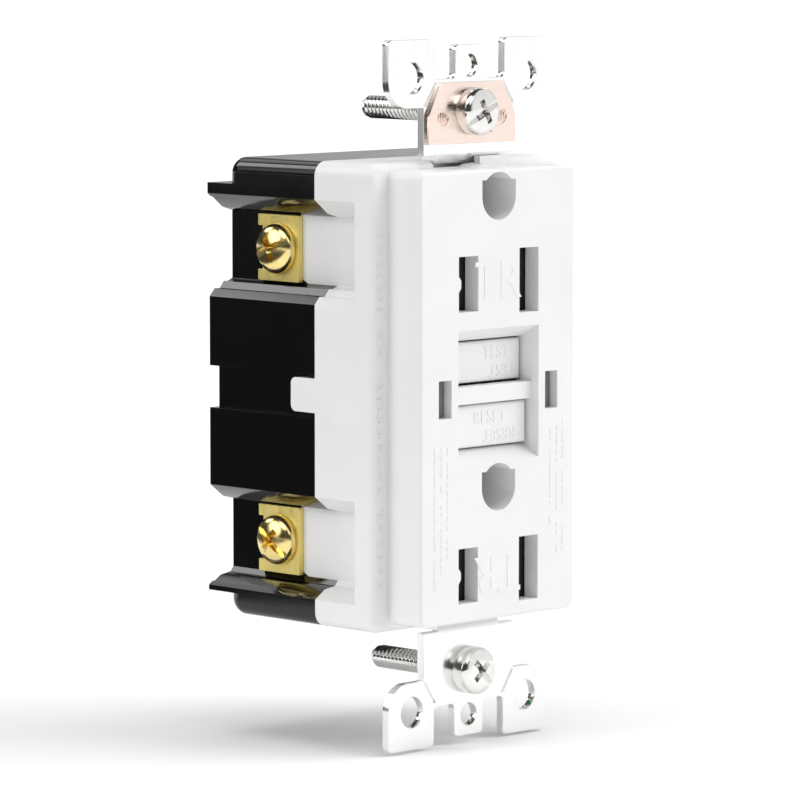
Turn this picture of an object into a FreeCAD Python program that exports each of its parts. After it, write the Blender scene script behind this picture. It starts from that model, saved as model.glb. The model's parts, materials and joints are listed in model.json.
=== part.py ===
import FreeCAD, Part
import os
import re

import Sketcher

# A ground-fault outlet, in millimetres. The origin is the centre of the mounting strap's front plane,
# midway between the two cover-plate screw holes. +X is to the right as seen from the front, +Y goes back
# into the wall box and +Z is up, so the face looks along -Y.

Vector = FreeCAD.Vector
Rotation = FreeCAD.Rotation
Placement = FreeCAD.Placement

# Driving dimensions: a word and its size. Depths (…_y) are measured back from the strap's front plane.
DIMENSIONS = {
    # face and front cover
    "face_half_width": 16.4,
    "face_half_height": 33.35,
    "face_y": -6.11,
    "face_inner_y": -3.41,
    "face_cavity_half_width": 14.6,
    "face_cavity_half_height": 31.5,
    "face_corner_radius": 1.2,
    "face_edge_radius": 0.55,
    "body_half_width": 19.9,
    "body_half_height": 34.5,
    "body_corner_radius": 2.2,
    "body_edge_radius": 1.2,
    "shoulder_y": 0.63,
    "shoulder_inner_y": 2.4,
    "seam_y": 12.4,
    "cavity_half_width": 13.6,
    "cavity_half_height": 32.9,
    "bay_half_width": 18.1,
    "bay_top": 11.6,
    "bay_bottom": -13.3,
    "channel_half_width": 18.0,
    "channel_top": 2.94,
    "channel_bottom": -3.42,
    "channel_wall_half_width": 16.2,
    "channel_wall_top": 4.7,
    "channel_wall_bottom": -5.2,
    "tab_top": 2.43,
    "tab_bottom": -2.65,
    "tab_rear_y": 17.5,
    "tab_corner_radius": 1.0,
    # terminal pockets in both sides of the body
    "pocket_floor": 15.2,
    "pocket_front_y": 4.05,
    "pocket_knee": 17.3,
    "upper_pocket_top": 28.86,
    "upper_pocket_knee_top": 26.75,
    "upper_pocket_floor_top": 26.1,
    "upper_pocket_floor_bottom": 15.9,
    "upper_pocket_step_one": 15.5,
    "upper_pocket_step_two": 14.5,
    "upper_pocket_bottom": 13.37,
    "lower_pocket_top": -15.11,
    "lower_pocket_knee_top": -17.1,
    "lower_pocket_floor_top": -17.62,
    "lower_pocket_floor_bottom": -28.01,
    "lower_pocket_step": -29.1,
    "lower_pocket_bottom": -30.42,
    # the front cover's tongues, lapped over the back cover's wall beside each terminal
    "tongue_inner": 14.3,
    "tongue_rear_y": 20.2,
    "tongue_chamfer_y": 1.6,
    "tongue_chamfer_z": 0.8,
    # openings in the face
    "blade_offset": 6.35,
    "upper_blade_z": 16.7,
    "lower_blade_z": -26.35,
    "slot_inner": 4.38,
    "slot_outer": 8.46,
    "hot_slot_half_height": 4.08,
    "neutral_slot_half_height": 4.8,
    "ground_half_width": 3.55,
    "upper_ground_top": 31.79,
    "lower_ground_top": -11.28,
    "ground_flat": 2.41,
    "ground_boss_wall": 1.0,
    "ground_boss_y": 1.6,
    "window_inner": 9.95,
    "window_outer": 12.63,
    "window_half_height": 2.8,
    "window_floor_y": -4.3,
    # button recess
    "recess_half_width": 8.55,
    "recess_half_height": 9.9,
    "recess_throat_half_height": 8.1,
    "recess_throat_y": -3.0,
    "recess_rear_y": -1.5,
    "recess_wall": 1.0,
    "bar_top": 1.35,
    "bar_bottom": -1.2,
    "bar_front_y": -4.7,
    "bar_rear_y": -2.4,
    # strap passage through the ends of the front cover
    "passage_half_width": 6.9,
    "passage_outer_z": 33.5,
    "passage_front_y": 2.9,
    "passage_rear_y": 4.8,
    "hood_left": 1.0,
    "hood_right": 6.8,
    "hood_top": 35.0,
    "hood_front_y": -1.2,
    # back cover
    "back_end_y": 31.9,
    "back_end_radius": 3.0,
    "back_ledge_y": 35.5,
    "back_middle_y": 35.1,
    "back_cavity_y": 33.5,
    "back_end_cavity_y": 30.1,
    "back_cavity_top": 28.8,
    "back_cavity_bottom": -29.6,
    "upper_ledge_top": 30.5,
    "lower_ledge_bottom": -31.18,
    "label_half_width": 9.0,
    "label_top": 10.0,
    "label_bottom": -12.0,
    "label_depth": 0.35,
    "strip_gauge_left": -3.0,
    "strip_gauge_right": 11.0,
    "strip_gauge_z": -20.0,
    "strip_gauge_half": 0.6,
    "wire_hole_inner": 12.5,
    "wire_hole_outer": 14.9,
    "wire_hole_spread": 3.4,
    "wire_hole_half": 1.2,
    "clamp_window_front_y": 20.5,
    "clamp_window_rear_y": 28.4,
    "clamp_window_half": 3.4,
    "board_post_radius": 1.5,
    "board_post_x": 10.4,
    "board_post_z": 26.6,
    # long screws that hold the two covers together
    "case_screw_x": 16.3,
    "case_screw_z": 32.7,
    "case_screw_radius": 1.1,
    "case_screw_hole_radius": 1.15,
    "case_screw_head_radius": 1.6,
    "case_screw_recess_radius": 1.8,
    "case_screw_tip_y": 4.5,
    "case_screw_hole_y": 4.0,
    "case_screw_seat_y": 29.7,
    "case_screw_head_y": 31.3,
    # mounting strap
    "strap_thick": 1.3,
    "strap_half_width": 9.6,
    "strap_shoulder_z": 35.3,
    "strap_top_z": 46.5,
    "strap_corner_radius": 0.8,
    "neck_half_width": 6.5,
    "leg_inner_z": 33.9,
    "leg_outer_z": 35.2,
    "leg_bend_radius": 1.8,
    "bar_y": 3.2,
    "ear_inner": 7.4,
    "ear_outer": 16.9,
    "ear_bottom_z": 42.4,
    "ear_top_z": 52.4,
    "ear_radius": 4.0,
    "ear_hole_x": 12.0,
    "ear_hole_z": 46.8,
    "ear_hole_radius": 2.35,
    "score_width": 0.45,
    "score_depth": 0.45,
    "tab_half_width": 3.0,
    "tab_top_z": 51.5,
    "plate_hole_z": 48.42,
    "plate_hole_radius": 1.72,
    "box_hole_z": 41.67,
    "box_hole_radius": 2.2,
    "spine_half_width": 3.0,
    "ground_axis_z": 28.65,
    "lower_ground_axis_z": -14.4,
    "ground_bar_half_height": 4.9,
    "ground_bar_hole_radius": 2.9,
    "ring_outer": 11.5,
    "ring_inner": 9.3,
    "ring_outer_z": 11.6,
    "ring_inner_z": 9.7,
    "ground_tab_inner_z": -37.3,
    "ground_tab_outer_z": -42.7,
    "ground_tab_rear_y": 11.7,
    # self-grounding clip under the upper mounting screw
    "clip_thick": 0.6,
    "clip_half_width": 9.2,
    "clip_bottom_z": 36.95,
    "clip_knee_z": 41.0,
    "clip_top_z": 46.0,
    "clip_top_half_width": 6.6,
    "clip_hole_radius": 2.3,
    "clip_slit_x": 3.05,
    "clip_slit_width": 0.45,
    "clip_slit_top_z": 44.3,
    "clip_slit_bottom_z": 38.5,
    "clip_dimple_x": 6.15,
    "clip_dimple_z": 40.8,
    "clip_dimple_radius": 1.15,
    "clip_dimple_depth": 0.2,
    # mounting screws (No. 6-32) and their retaining washers
    "box_screw_radius": 1.75,
    "box_screw_head_radius": 3.55,
    "box_screw_head_high": 2.9,
    "box_screw_dome": 1.2,
    "box_screw_tip_taper": 0.9,
    "upper_box_screw_tip_y": 21.6,
    "lower_box_screw_tip_y": 19.5,
    "retainer_radius": 4.0,
    "retainer_front_y": 4.0,
    "retainer_thick": 0.5,
    "screw_running_radius": 1.8,
    "screw_neck_radius": 1.45,
    "box_screw_thread_y": 5.0,
    "terminal_neck": 0.6,
    # terminals
    "terminal_outer": 16.2,
    "terminal_front_y": 19.7,
    "terminal_rear_y": 28.4,
    "terminal_margin": 0.1,
    "terminal_screw_y": 23.95,
    "upper_terminal_z": 20.95,
    "lower_terminal_z": -22.8,
    "terminal_notch_half": 3.3,
    "terminal_notch_deep": 1.0,
    "terminal_leg_half": 1.9,
    "terminal_leg_front_y": 27.2,
    "terminal_foot_inner": 11.0,
    "terminal_foot_outer": 12.2,
    "terminal_head_radius": 3.8,
    "terminal_head_high": 2.3,
    "terminal_head_dome": 1.9,
    "terminal_shank_inner": 11.2,
    "clamp_inner": 13.9,
    "clamp_outer": 15.1,
    "clamp_front_y": 21.0,
    "clamp_half": 3.05,
    # green grounding screw on the strap's lower right edge
    "ground_screw_y": 7.6,
    "ground_screw_z": -40.0,
    "ground_clamp_outer": 10.8,
    "ground_clamp_half": 3.3,
    "ground_head_high": 2.4,
    "ground_head_radius": 3.9,
    "ground_washer_high": 0.7,
    "ground_washer_radius": 4.0,
    "ground_shank_inner": 4.8,
    # buttons
    "button_half_width": 8.2,
    "button_rear_y": 1.6,
    "button_edge_radius": 0.6,
    "test_top": 7.75,
    "test_bottom": 1.65,
    "test_face_y": -2.7,
    "reset_top": -1.5,
    "reset_bottom": -7.8,
    "reset_face_y": -3.9,
    "flange_half_width": 9.3,
    "flange_front_y": -1.2,
    "flange_rear_y": 0.2,
    "test_axis_z": 4.7,
    "test_stem_radius": 1.5,
    "test_stem_y": 5.4,
    "test_lug_inner": 4.6,
    "test_lug_outer": 6.4,
    "test_lug_half": 1.0,
    "test_lug_y": 5.6,
    "reset_axis_z": -5.1,
    "reset_boss_radius": 2.1,
    "reset_boss_y": 5.0,
    "reset_pin_radius": 1.2,
    "reset_pin_head_radius": 1.9,
    "reset_pin_head_y": 20.1,
    "reset_pin_tip_y": 21.5,
    "button_spring_outer": 2.8,
    "test_spring_front_y": 1.7,
    "reset_spring_front_y": 5.1,
    "test_spring_bore": 1.9,
    "reset_spring_bore": 1.8,
    "spring_gap": 0.1,
    # tamper-resistant shutters
    "shutter_left": -11.4,
    "shutter_right": 8.9,
    "shutter_half_height": 4.95,
    "shutter_front_y": -2.9,
    "shutter_rear_y": -0.9,
    "shutter_travel": 3.0,
    "shutter_gate_half": 1.2,
    "shutter_gate_half_height": 4.2,
    "shutter_spring_y": -1.9,
    "shutter_spring_radius": 0.9,
    "shutter_spring_right": 14.4,
    # contact tray
    "tray_half_width": 13.3,
    "tray_half_height": 31.9,
    "tray_rim": 1.2,
    "tray_front_y": 5.15,
    "tray_floor_y": 10.4,
    "tray_rear_y": 11.6,
    "tray_rib_inner": 3.9,
    "tray_rib_outer": 4.4,
    "tray_window_inner": 5.9,
    "tray_window_outer": 9.3,
    "tray_window_top": -4.8,
    "tray_window_bottom": -10.0,
    "tray_pin_hole_radius": 2.0,
    "guide_x": 4.2,
    "guide_z": -8.0,
    "guide_radius": 1.0,
    "guide_rear_y": 18.7,
    # face contacts
    "grip_outer": 8.1,
    "grip_outer_inner": 7.5,
    "grip_inner": 4.7,
    "grip_inner_outer": 5.3,
    "grip_front_y": 5.4,
    "grip_web_y": 9.7,
    "grip_rear_y": 10.3,
    "grip_half_height": 3.9,
    "contact_tab_top": -5.4,
    "contact_tab_bottom": -9.4,
    "contact_tab_y": 11.95,
    "contact_tab_front_y": 11.45,
    "contact_tab_inner": 6.3,
    "contact_tab_outer": 8.7,
    "contact_pad_z": -7.4,
    "contact_pad_radius": 1.1,
    "contact_pad_high": 0.45,
    "contact_gap": 0.05,
    # ground contacts
    "ground_plate_y": 4.55,
    "ground_plate_rear_y": 5.05,
    "ground_plate_half_width": 3.8,
    "ground_plate_half_height": 3.2,
    "ground_leaf_inner": 3.0,
    "ground_leaf_outer": 3.5,
    "ground_leaf_half_height": 2.0,
    "ground_leaf_y": 10.2,
    # test contact
    "test_leaf_left": 4.4,
    "test_leaf_right": 6.8,
    "test_leaf_bottom": 3.4,
    "test_leaf_top": 6.0,
    "test_leaf_front_y": 7.1,
    "test_leaf_thick": 0.4,
    # contact carriage and bridges
    "carriage_front_y": 13.4,
    "carriage_rear_y": 16.8,
    "carriage_half_width": 9.4,
    "carriage_top": 0.5,
    "carriage_bottom": -10.5,
    "carriage_pin_hole": 2.4,
    "carriage_guide_hole": 1.06,
    "bridge_inner": 6.4,
    "bridge_outer": 8.8,
    "bridge_top": 0.2,
    "bridge_bottom": -10.2,
    "bridge_thick": 0.5,
    "carriage_spring_outer": 1.8,
    "carriage_spring_bore": 1.3,
    # circuit board and what is on it
    "board_half_width": 12.3,
    "board_top": 28.5,
    "board_bottom": -29.3,
    "board_front_y": 29.4,
    "board_rear_y": 31.0,
    "conductor_x": 1.4,
    "conductor_z": 21.0,
    "conductor_radius": 0.9,
    "conductor_hole_radius": 0.95,
    "conductor_front_y": 13.2,
    "conductor_rear_y": 31.4,
    "chip_left": 4.0,
    "chip_right": 9.0,
    "chip_bottom": 2.2,
    "chip_top": 7.6,
    "chip_front_y": 27.9,
    "varistor_left": -9.6,
    "varistor_right": -6.2,
    "varistor_y": 24.4,
    "varistor_z": 3.5,
    "varistor_radius": 4.8,
    "capacitor_front_y": 22.4,
    "capacitor_radius": 2.4,
    "capacitor_x": 8.1,
    "capacitor_z": -5.6,
    "diode_step": 3.0,
    "diode_half": 0.8,
    "diode_bottom": 9.3,
    "diode_top": 11.3,
    "diode_front_y": 28.2,
    "resistor_left": -3.2,
    "resistor_right": 3.2,
    "resistor_y": 28.3,
    "resistor_z": -9.4,
    "resistor_radius": 1.05,
    # sensing transformers
    "transformer_outer": 9.0,
    "transformer_inner": 8.0,
    "transformer_front_y": 17.5,
    "transformer_face_y": 18.6,
    "transformer_rear_y": 29.3,
    "transformer_tube_outer": 3.2,
    "transformer_tube_inner": 2.6,
    "core_outer": 7.7,
    "core_inner": 3.5,
    "front_core_y": 19.0,
    "front_core_rear_y": 23.4,
    "rear_core_y": 24.0,
    "rear_core_rear_y": 28.6,
    # trip solenoid
    "solenoid_y": 19.4,
    "bobbin_bottom": -30.6,
    "bobbin_top": -16.2,
    "bobbin_flange": 0.9,
    "bobbin_flange_radius": 5.6,
    "bobbin_tube_radius": 2.6,
    "bobbin_bore_radius": 2.0,
    "coil_radius": 5.2,
    "yoke_thick": 1.2,
    "yoke_half_width": 5.8,
    "yoke_front_y": 13.8,
    "yoke_rear_y": 26.8,
    "yoke_hole_radius": 2.4,
    "plunger_radius": 1.95,
    "plunger_bottom": -27.0,
    "plunger_top": -10.9,
    "plunger_flange_radius": 2.9,
    "plunger_flange_high": 1.0,
    "plunger_spring_bore": 2.2,
    "plunger_spring_outer": 2.85,
    "latch_half_width": 3.4,
    "latch_top": -0.4,
    "latch_front_y": 18.9,
    "latch_rear_y": 19.9,
    "latch_slot_radius": 1.55,
    "latch_key_radius": 2.3,
    "latch_key_offset": 2.2,
}

ALIAS = re.compile(r"[a-z_]+")

doc = FreeCAD.newDocument("GroundFaultOutlet")
sheet = doc.addObject("Spreadsheet::Sheet", "Dims")
for row, (alias, size) in enumerate(DIMENSIONS.items(), start=1):
    sheet.set(f"A{row}", alias)
    sheet.set(f"B{row}", str(size))
    sheet.setAlias(f"B{row}", alias)
doc.recompute()

nodes = []


def bound(expression):
    """The expression with each dimension's name pointed at its cell in the sheet."""
    def pointed(word):
        return f"Dims.{word.group()}" if word.group() in DIMENSIONS else word.group()

    return ALIAS.sub(pointed, expression)


def number(expression):
    return float(sheet.evalExpression(bound(expression)))


def bind(thing, path, expression):
    thing.setExpression(path, bound(expression))


def neg(expression):
    return f"-({expression})"


def place(thing, x="0", y="0", z="0", turn=None):
    """Put an object at a point, after an optional turn from its own axes."""
    thing.Placement = Placement(Vector(0, 0, 0), turn or Rotation())
    for letter, expression in zip("xyz", (x, y, z)):
        bind(thing, f"Placement.Base.{letter}", expression)


# ---- sketches and the features made from them ----

# each sketch plane: its role in a body's origin, and which way its normal points along the model's axis
PLANES = {"XY": ("XY_Plane", 1), "XZ": ("XZ_Plane", -1), "YZ": ("YZ_Plane", 1)}


def new_body(label):
    body = doc.addObject("PartDesign::Body", label)
    body.Label = label
    nodes.append(body)
    return body


def origin_plane(body, role):
    return next(feature for feature in body.Origin.OriginFeatures if feature.Role == role)


def add_outline(sketch, corners):
    """A closed outline of straight edges, every corner tied to the sheet."""
    points = [(number(u), number(v)) for u, v in corners]
    first = sketch.GeometryCount
    count = len(points)
    for index, (u, v) in enumerate(points):
        next_u, next_v = points[(index + 1) % count]
        sketch.addGeometry(Part.LineSegment(Vector(u, v, 0), Vector(next_u, next_v, 0)), False)
    for index in range(count):
        following = first + (index + 1) % count
        sketch.addConstraint(Sketcher.Constraint("Coincident", first + index, 2, following, 1))
    for index, (corner, point) in enumerate(zip(corners, points)):
        for kind, expression, value in zip(("DistanceX", "DistanceY"), corner, point):
            rule = sketch.addConstraint(Sketcher.Constraint(kind, -1, 1, first + index, 1, value))
            bind(sketch, f"Constraints[{rule}]", expression)


def add_circle(sketch, u, v, radius):
    centre = Vector(number(u), number(v), 0)
    edge = sketch.addGeometry(Part.Circle(centre, Vector(0, 0, 1), number(radius)), False)
    for kind, expression, value in (("DistanceX", u, centre.x), ("DistanceY", v, centre.y)):
        rule = sketch.addConstraint(Sketcher.Constraint(kind, -1, 1, edge, 3, value))
        bind(sketch, f"Constraints[{rule}]", expression)
    rule = sketch.addConstraint(Sketcher.Constraint("Radius", edge, number(radius)))
    bind(sketch, f"Constraints[{rule}]", radius)


def new_sketch(body, plane, level, shapes):
    """A sketch on one of the body's own origin planes, moved along that plane's axis to a level."""
    role, sense = PLANES[plane]
    sketch = body.newObject("Sketcher::SketchObject", f"{body.Label}_sketch")
    sketch.AttachmentSupport = [(origin_plane(body, role), "")]
    sketch.MapMode = "FlatFace"
    bind(sketch, "AttachmentOffset.Base.z", level if sense > 0 else neg(level))
    for shape in shapes:
        if shape[0] == "circle":
            add_circle(sketch, *shape[1:])
        else:
            add_outline(sketch, shape)
    return sketch


def feature(body, kind, plane, low, high, shapes):
    """Add (Pad) or take away (Pocket) the shapes between two levels."""
    sense = PLANES[plane][1]
    from_low = (sense > 0) == (kind == "Pad")
    sketch = new_sketch(body, plane, low if from_low else high, shapes)
    made = body.newObject(f"PartDesign::{kind}", f"{body.Label}_{kind.lower()}")
    made.Profile = sketch
    bind(made, "Length", f"({high}) - ({low})")
    doc.recompute()
    return made


def pad(body, plane, low, high, *shapes):
    return feature(body, "Pad", plane, low, high, shapes)


def pocket(body, plane, low, high, *shapes):
    before = body.Shape.Volume
    made = feature(body, "Pocket", plane, low, high, shapes)
    if body.Shape.Volume >= before:
        raise RuntimeError(f"a pocket in {body.Label} took nothing away")
    return made


def revolve(body, outline):
    """Turn an outline of (radius, height) corners about the body's own Z axis."""
    sketch = new_sketch(body, "XZ", "0", [outline])
    made = body.newObject("PartDesign::Revolution", f"{body.Label}_revolution")
    made.Profile = sketch
    made.ReferenceAxis = (sketch, ["V_Axis"])
    made.Angle = 360
    doc.recompute()
    return made


def rounded(body, radius, wanted):
    """Fillet the edges of the body whose bounding boxes satisfy a test."""
    tip = body.Tip
    names = [f"Edge{index}" for index, edge in enumerate(tip.Shape.Edges, start=1) if wanted(edge.BoundBox)]
    fillet = body.newObject("PartDesign::Fillet", f"{body.Label}_fillet")
    fillet.Base = (tip, names)
    bind(fillet, "Radius", radius)
    doc.recompute()
    return fillet


def rectangle(u_low, u_high, v_low, v_high):
    return [(u_low, v_low), (u_high, v_low), (u_high, v_high), (u_low, v_high)]


def sided(side, inner, outer):
    """Two levels along X on one side of the outlet, lower first."""
    return (inner, outer) if side > 0 else (neg(outer), neg(inner))


def mirrored(right_side):
    """An outline symmetric about the sketch's vertical axis, from its right side."""
    return right_side + [(neg(u), v) for u, v in reversed(right_side)]


def near(value, expression, slack=0.02):
    return abs(value - number(expression)) < slack


def along_y(box, slack=0.02):
    return box.XLength < slack and box.ZLength < slack and box.YLength > slack


def along_x(box, slack=0.02):
    return box.YLength < slack and box.ZLength < slack and box.XLength > slack


# ---- primitives and booleans ----


def hidden(kind, label):
    return doc.addObject(kind, label)


def cuboid(label, x_low, x_high, y_low, y_high, z_low, z_high):
    block = hidden("Part::Box", label)
    bind(block, "Length", f"({x_high}) - ({x_low})")
    bind(block, "Width", f"({y_high}) - ({y_low})")
    bind(block, "Height", f"({z_high}) - ({z_low})")
    place(block, x_low, y_low, z_low)
    return block


TURNS = {
    "+X": Rotation(Vector(0, 1, 0), 90),
    "-X": Rotation(Vector(0, 1, 0), -90),
    "+Y": Rotation(Vector(1, 0, 0), -90),
    "-Y": Rotation(Vector(1, 0, 0), 90),
    "+Z": Rotation(),
}


def rod(label, axis, radius, length, x="0", y="0", z="0"):
    """A cylinder that starts at a point and runs along an axis."""
    cylinder = hidden("Part::Cylinder", label)
    bind(cylinder, "Radius", radius)
    bind(cylinder, "Height", length)
    place(cylinder, x, y, z, TURNS[axis])
    return cylinder


def joined(label, pieces):
    fuse = doc.addObject("Part::MultiFuse", label)
    fuse.Shapes = pieces
    fuse.Label = label
    return fuse


def less(label, base, tool):
    cut = doc.addObject("Part::Cut", label)
    cut.Base = base
    cut.Tool = tool
    cut.Label = label
    return cut


def node(thing, label):
    thing.Label = label
    nodes.append(thing)
    return thing


def ring(label, axis, outer, inner, length, x="0", y="0", z="0"):
    """A tube, such as a core, a wound coil's envelope or a washer."""
    outside = rod(f"{label}_outside", axis, outer, length, x, y, z)
    inside = rod(f"{label}_bore", axis, inner, length, x, y, z)
    return less(label, outside, inside)


# ---- covers ----


def pocket_outline(upper, side):
    """The terminal pocket's section: a flat floor, a bevelled top and a stepped lower edge."""
    if upper:
        corners = [
            ("body_half_width + 1", "upper_pocket_bottom - 0.45"),
            ("body_half_width", "upper_pocket_bottom"),
            ("body_half_width - 1", "upper_pocket_step_two"),
            ("pocket_knee + 0.5", "upper_pocket_step_two"),
            ("pocket_knee - 0.3", "upper_pocket_step_one"),
            ("pocket_floor + 0.9", "upper_pocket_step_one"),
            ("pocket_floor", "upper_pocket_floor_bottom"),
            ("pocket_floor", "upper_pocket_floor_top"),
            ("pocket_knee", "upper_pocket_knee_top"),
            ("body_half_width", "upper_pocket_top"),
            ("body_half_width + 1", "upper_pocket_top + 0.8"),
        ]
    else:
        corners = [
            ("body_half_width + 1", "lower_pocket_bottom - 0.5"),
            ("body_half_width", "lower_pocket_bottom"),
            ("pocket_knee + 0.6", "lower_pocket_step"),
            ("pocket_floor + 0.6", "lower_pocket_step + 0.35"),
            ("pocket_floor", "lower_pocket_floor_bottom"),
            ("pocket_floor", "lower_pocket_floor_top"),
            ("pocket_knee", "lower_pocket_knee_top"),
            ("body_half_width", "lower_pocket_top"),
            ("body_half_width + 1", "lower_pocket_top + 0.8"),
        ]
    return corners if side > 0 else [(neg(u), v) for u, v in corners]


def tongues():
    """The tongues as (low X, high X, outline in Y and Z), each with its lower rear corner cut off."""
    made = []
    for low, high in (("upper_pocket_floor_bottom", "upper_pocket_floor_top"),
                      ("lower_pocket_floor_bottom", "lower_pocket_floor_top")):
        outline = [
            ("seam_y - 0.5", low),
            ("tongue_rear_y - tongue_chamfer_y", low),
            ("tongue_rear_y", f"{low} + tongue_chamfer_z"),
            ("tongue_rear_y", high),
            ("seam_y - 0.5", high),
        ]
        made += [(*sided(side, "tongue_inner", "pocket_floor"), outline) for side in (-1, 1)]
    return made


def cavity_outline(bottom, top):
    """The hollow inside both covers, wider between the terminal pockets."""
    return mirrored([
        ("cavity_half_width", bottom),
        ("cavity_half_width", "bay_bottom"),
        ("bay_half_width", "bay_bottom"),
        ("bay_half_width", "channel_wall_bottom"),
        ("channel_wall_half_width", "channel_wall_bottom"),
        ("channel_wall_half_width", "channel_wall_top"),
        ("bay_half_width", "channel_wall_top"),
        ("bay_half_width", "bay_top"),
        ("cavity_half_width", "bay_top"),
        ("cavity_half_width", top),
    ])


def body_section():
    return rectangle("-body_half_width", "body_half_width", "-body_half_height", "body_half_height")


def round_body_corners(body):
    rounded(body, "body_corner_radius", lambda box: along_y(box) and near(abs(box.XMin), "body_half_width")
            and near(abs(box.ZMin), "body_half_height"))


def ground_hole(top, grow="0"):
    """A grounding hole's section as a flat top with straight sides, and the circle that rounds its bottom."""
    centre = f"{top} - ground_flat"
    half = f"(ground_half_width + {grow})"
    return rectangle(neg(half), half, centre, f"{top} + {grow}"), ("circle", "0", centre, half)


def screw_corners():
    """The four places of the case screws, as (x, z)."""
    return [(x, z) for x in ("-case_screw_x", "case_screw_x") for z in ("-case_screw_z", "case_screw_z")]


def make_front_cover():
    body = new_body("front_cover")
    pad(body, "XZ", "shoulder_y", "seam_y", body_section())
    round_body_corners(body)
    rounded(body, "body_edge_radius",
            lambda box: near(box.YMax, "shoulder_y") and near(box.YMin, "shoulder_y"))
    for side in (-1, 1):
        pad(body, "XZ", "seam_y - 0.5", "tab_rear_y",
            rectangle(*sided(side, "bay_half_width", "body_half_width"), "tab_bottom", "tab_top"))
    rounded(body, "tab_corner_radius", lambda box: along_x(box) and near(box.YMin, "tab_rear_y"))
    face = rectangle("-face_half_width", "face_half_width", "-face_half_height", "face_half_height")
    pad(body, "XZ", "face_y", "shoulder_y + 0.3", face)
    rounded(body, "face_corner_radius", lambda box: along_y(box) and near(box.YMin, "face_y"))
    rounded(body, "face_edge_radius", lambda box: near(box.YMin, "face_y") and near(box.YMax, "face_y"))
    pad(body, "XZ", "hood_front_y", "0",
        rectangle("hood_left", "hood_right", "face_half_height - 0.5", "hood_top"))
    # inside
    pocket(body, "XZ", "shoulder_inner_y", "seam_y + 0.1",
           cavity_outline("-cavity_half_height", "cavity_half_height"))
    face_cavity = rectangle("-face_cavity_half_width", "face_cavity_half_width",
                            "-face_cavity_half_height", "face_cavity_half_height")
    pocket(body, "XZ", "face_inner_y", "shoulder_inner_y + 0.2", face_cavity)
    wall_outline = rectangle("-recess_half_width - recess_wall", "recess_half_width + recess_wall",
                             "-recess_half_height - recess_wall", "recess_half_height + recess_wall")
    pad(body, "XZ", "face_inner_y - 0.2", "recess_rear_y", wall_outline)
    for top in ("upper_ground_top", "lower_ground_top"):
        flat, circle = ground_hole(top, "ground_boss_wall")
        pad(body, "XZ", "face_inner_y - 0.2", "ground_boss_y", flat)
        pad(body, "XZ", "face_inner_y - 0.2", "ground_boss_y", circle)
    # button recess, sloped at its top and bottom, with a bar across it between the buttons
    throat = [
        ("face_y - 0.5", "recess_half_height + 0.28"),
        ("recess_throat_y", "recess_throat_half_height"),
        ("recess_rear_y + 0.2", "recess_throat_half_height"),
    ]
    pocket(body, "YZ", "-recess_half_width", "recess_half_width",
           throat + [(u, neg(v)) for u, v in reversed(throat)])
    pad(body, "XZ", "bar_front_y", "bar_rear_y",
        rectangle("-recess_half_width - 0.2", "recess_half_width + 0.2", "bar_bottom", "bar_top"))
    for blade_z in ("upper_blade_z", "lower_blade_z"):
        for side, half in ((-1, "hot_slot_half_height"), (1, "neutral_slot_half_height")):
            pocket(body, "XZ", "face_y - 0.1", "face_inner_y + 0.1",
                   rectangle(*sided(side, "slot_inner", "slot_outer"),
                             f"{blade_z} - {half}", f"{blade_z} + {half}"))
    for top in ("upper_ground_top", "lower_ground_top"):
        flat, circle = ground_hole(top)
        pocket(body, "XZ", "face_y - 0.1", "ground_boss_y + 0.1", flat)
        pocket(body, "XZ", "face_y - 0.1", "ground_boss_y + 0.1", circle)
    for side in (-1, 1):
        pocket(body, "XZ", "face_y - 0.1", "window_floor_y",
               rectangle(*sided(side, "window_inner", "window_outer"),
                         "-window_half_height", "window_half_height"))
    # outside: terminal pockets, strap passages and blind holes for the case screws
    for upper in (True, False):
        for side in (-1, 1):
            pocket(body, "XZ", "pocket_front_y", "seam_y + 0.1", pocket_outline(upper, side))
    for low, high, outline in tongues():
        pad(body, "YZ", low, high, outline)
    for low, high, inner in (("passage_outer_z", "body_half_height + 0.1", "cavity_half_height - 0.2"),
                             ("-body_half_height - 0.1", "-passage_outer_z", "-cavity_half_height + 0.2")):
        pocket(body, "XZ", "shoulder_y - 0.1", "passage_rear_y",
               rectangle("-passage_half_width", "passage_half_width", low, high))
        span = (inner, high) if low == "passage_outer_z" else (low, inner)
        pocket(body, "XZ", "passage_front_y", "passage_rear_y",
               rectangle("-passage_half_width", "passage_half_width", *span))
    holes = [("circle", x, z, "case_screw_hole_radius") for x, z in screw_corners()]
    pocket(body, "XZ", "case_screw_hole_y", "seam_y + 0.1", *holes)


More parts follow.
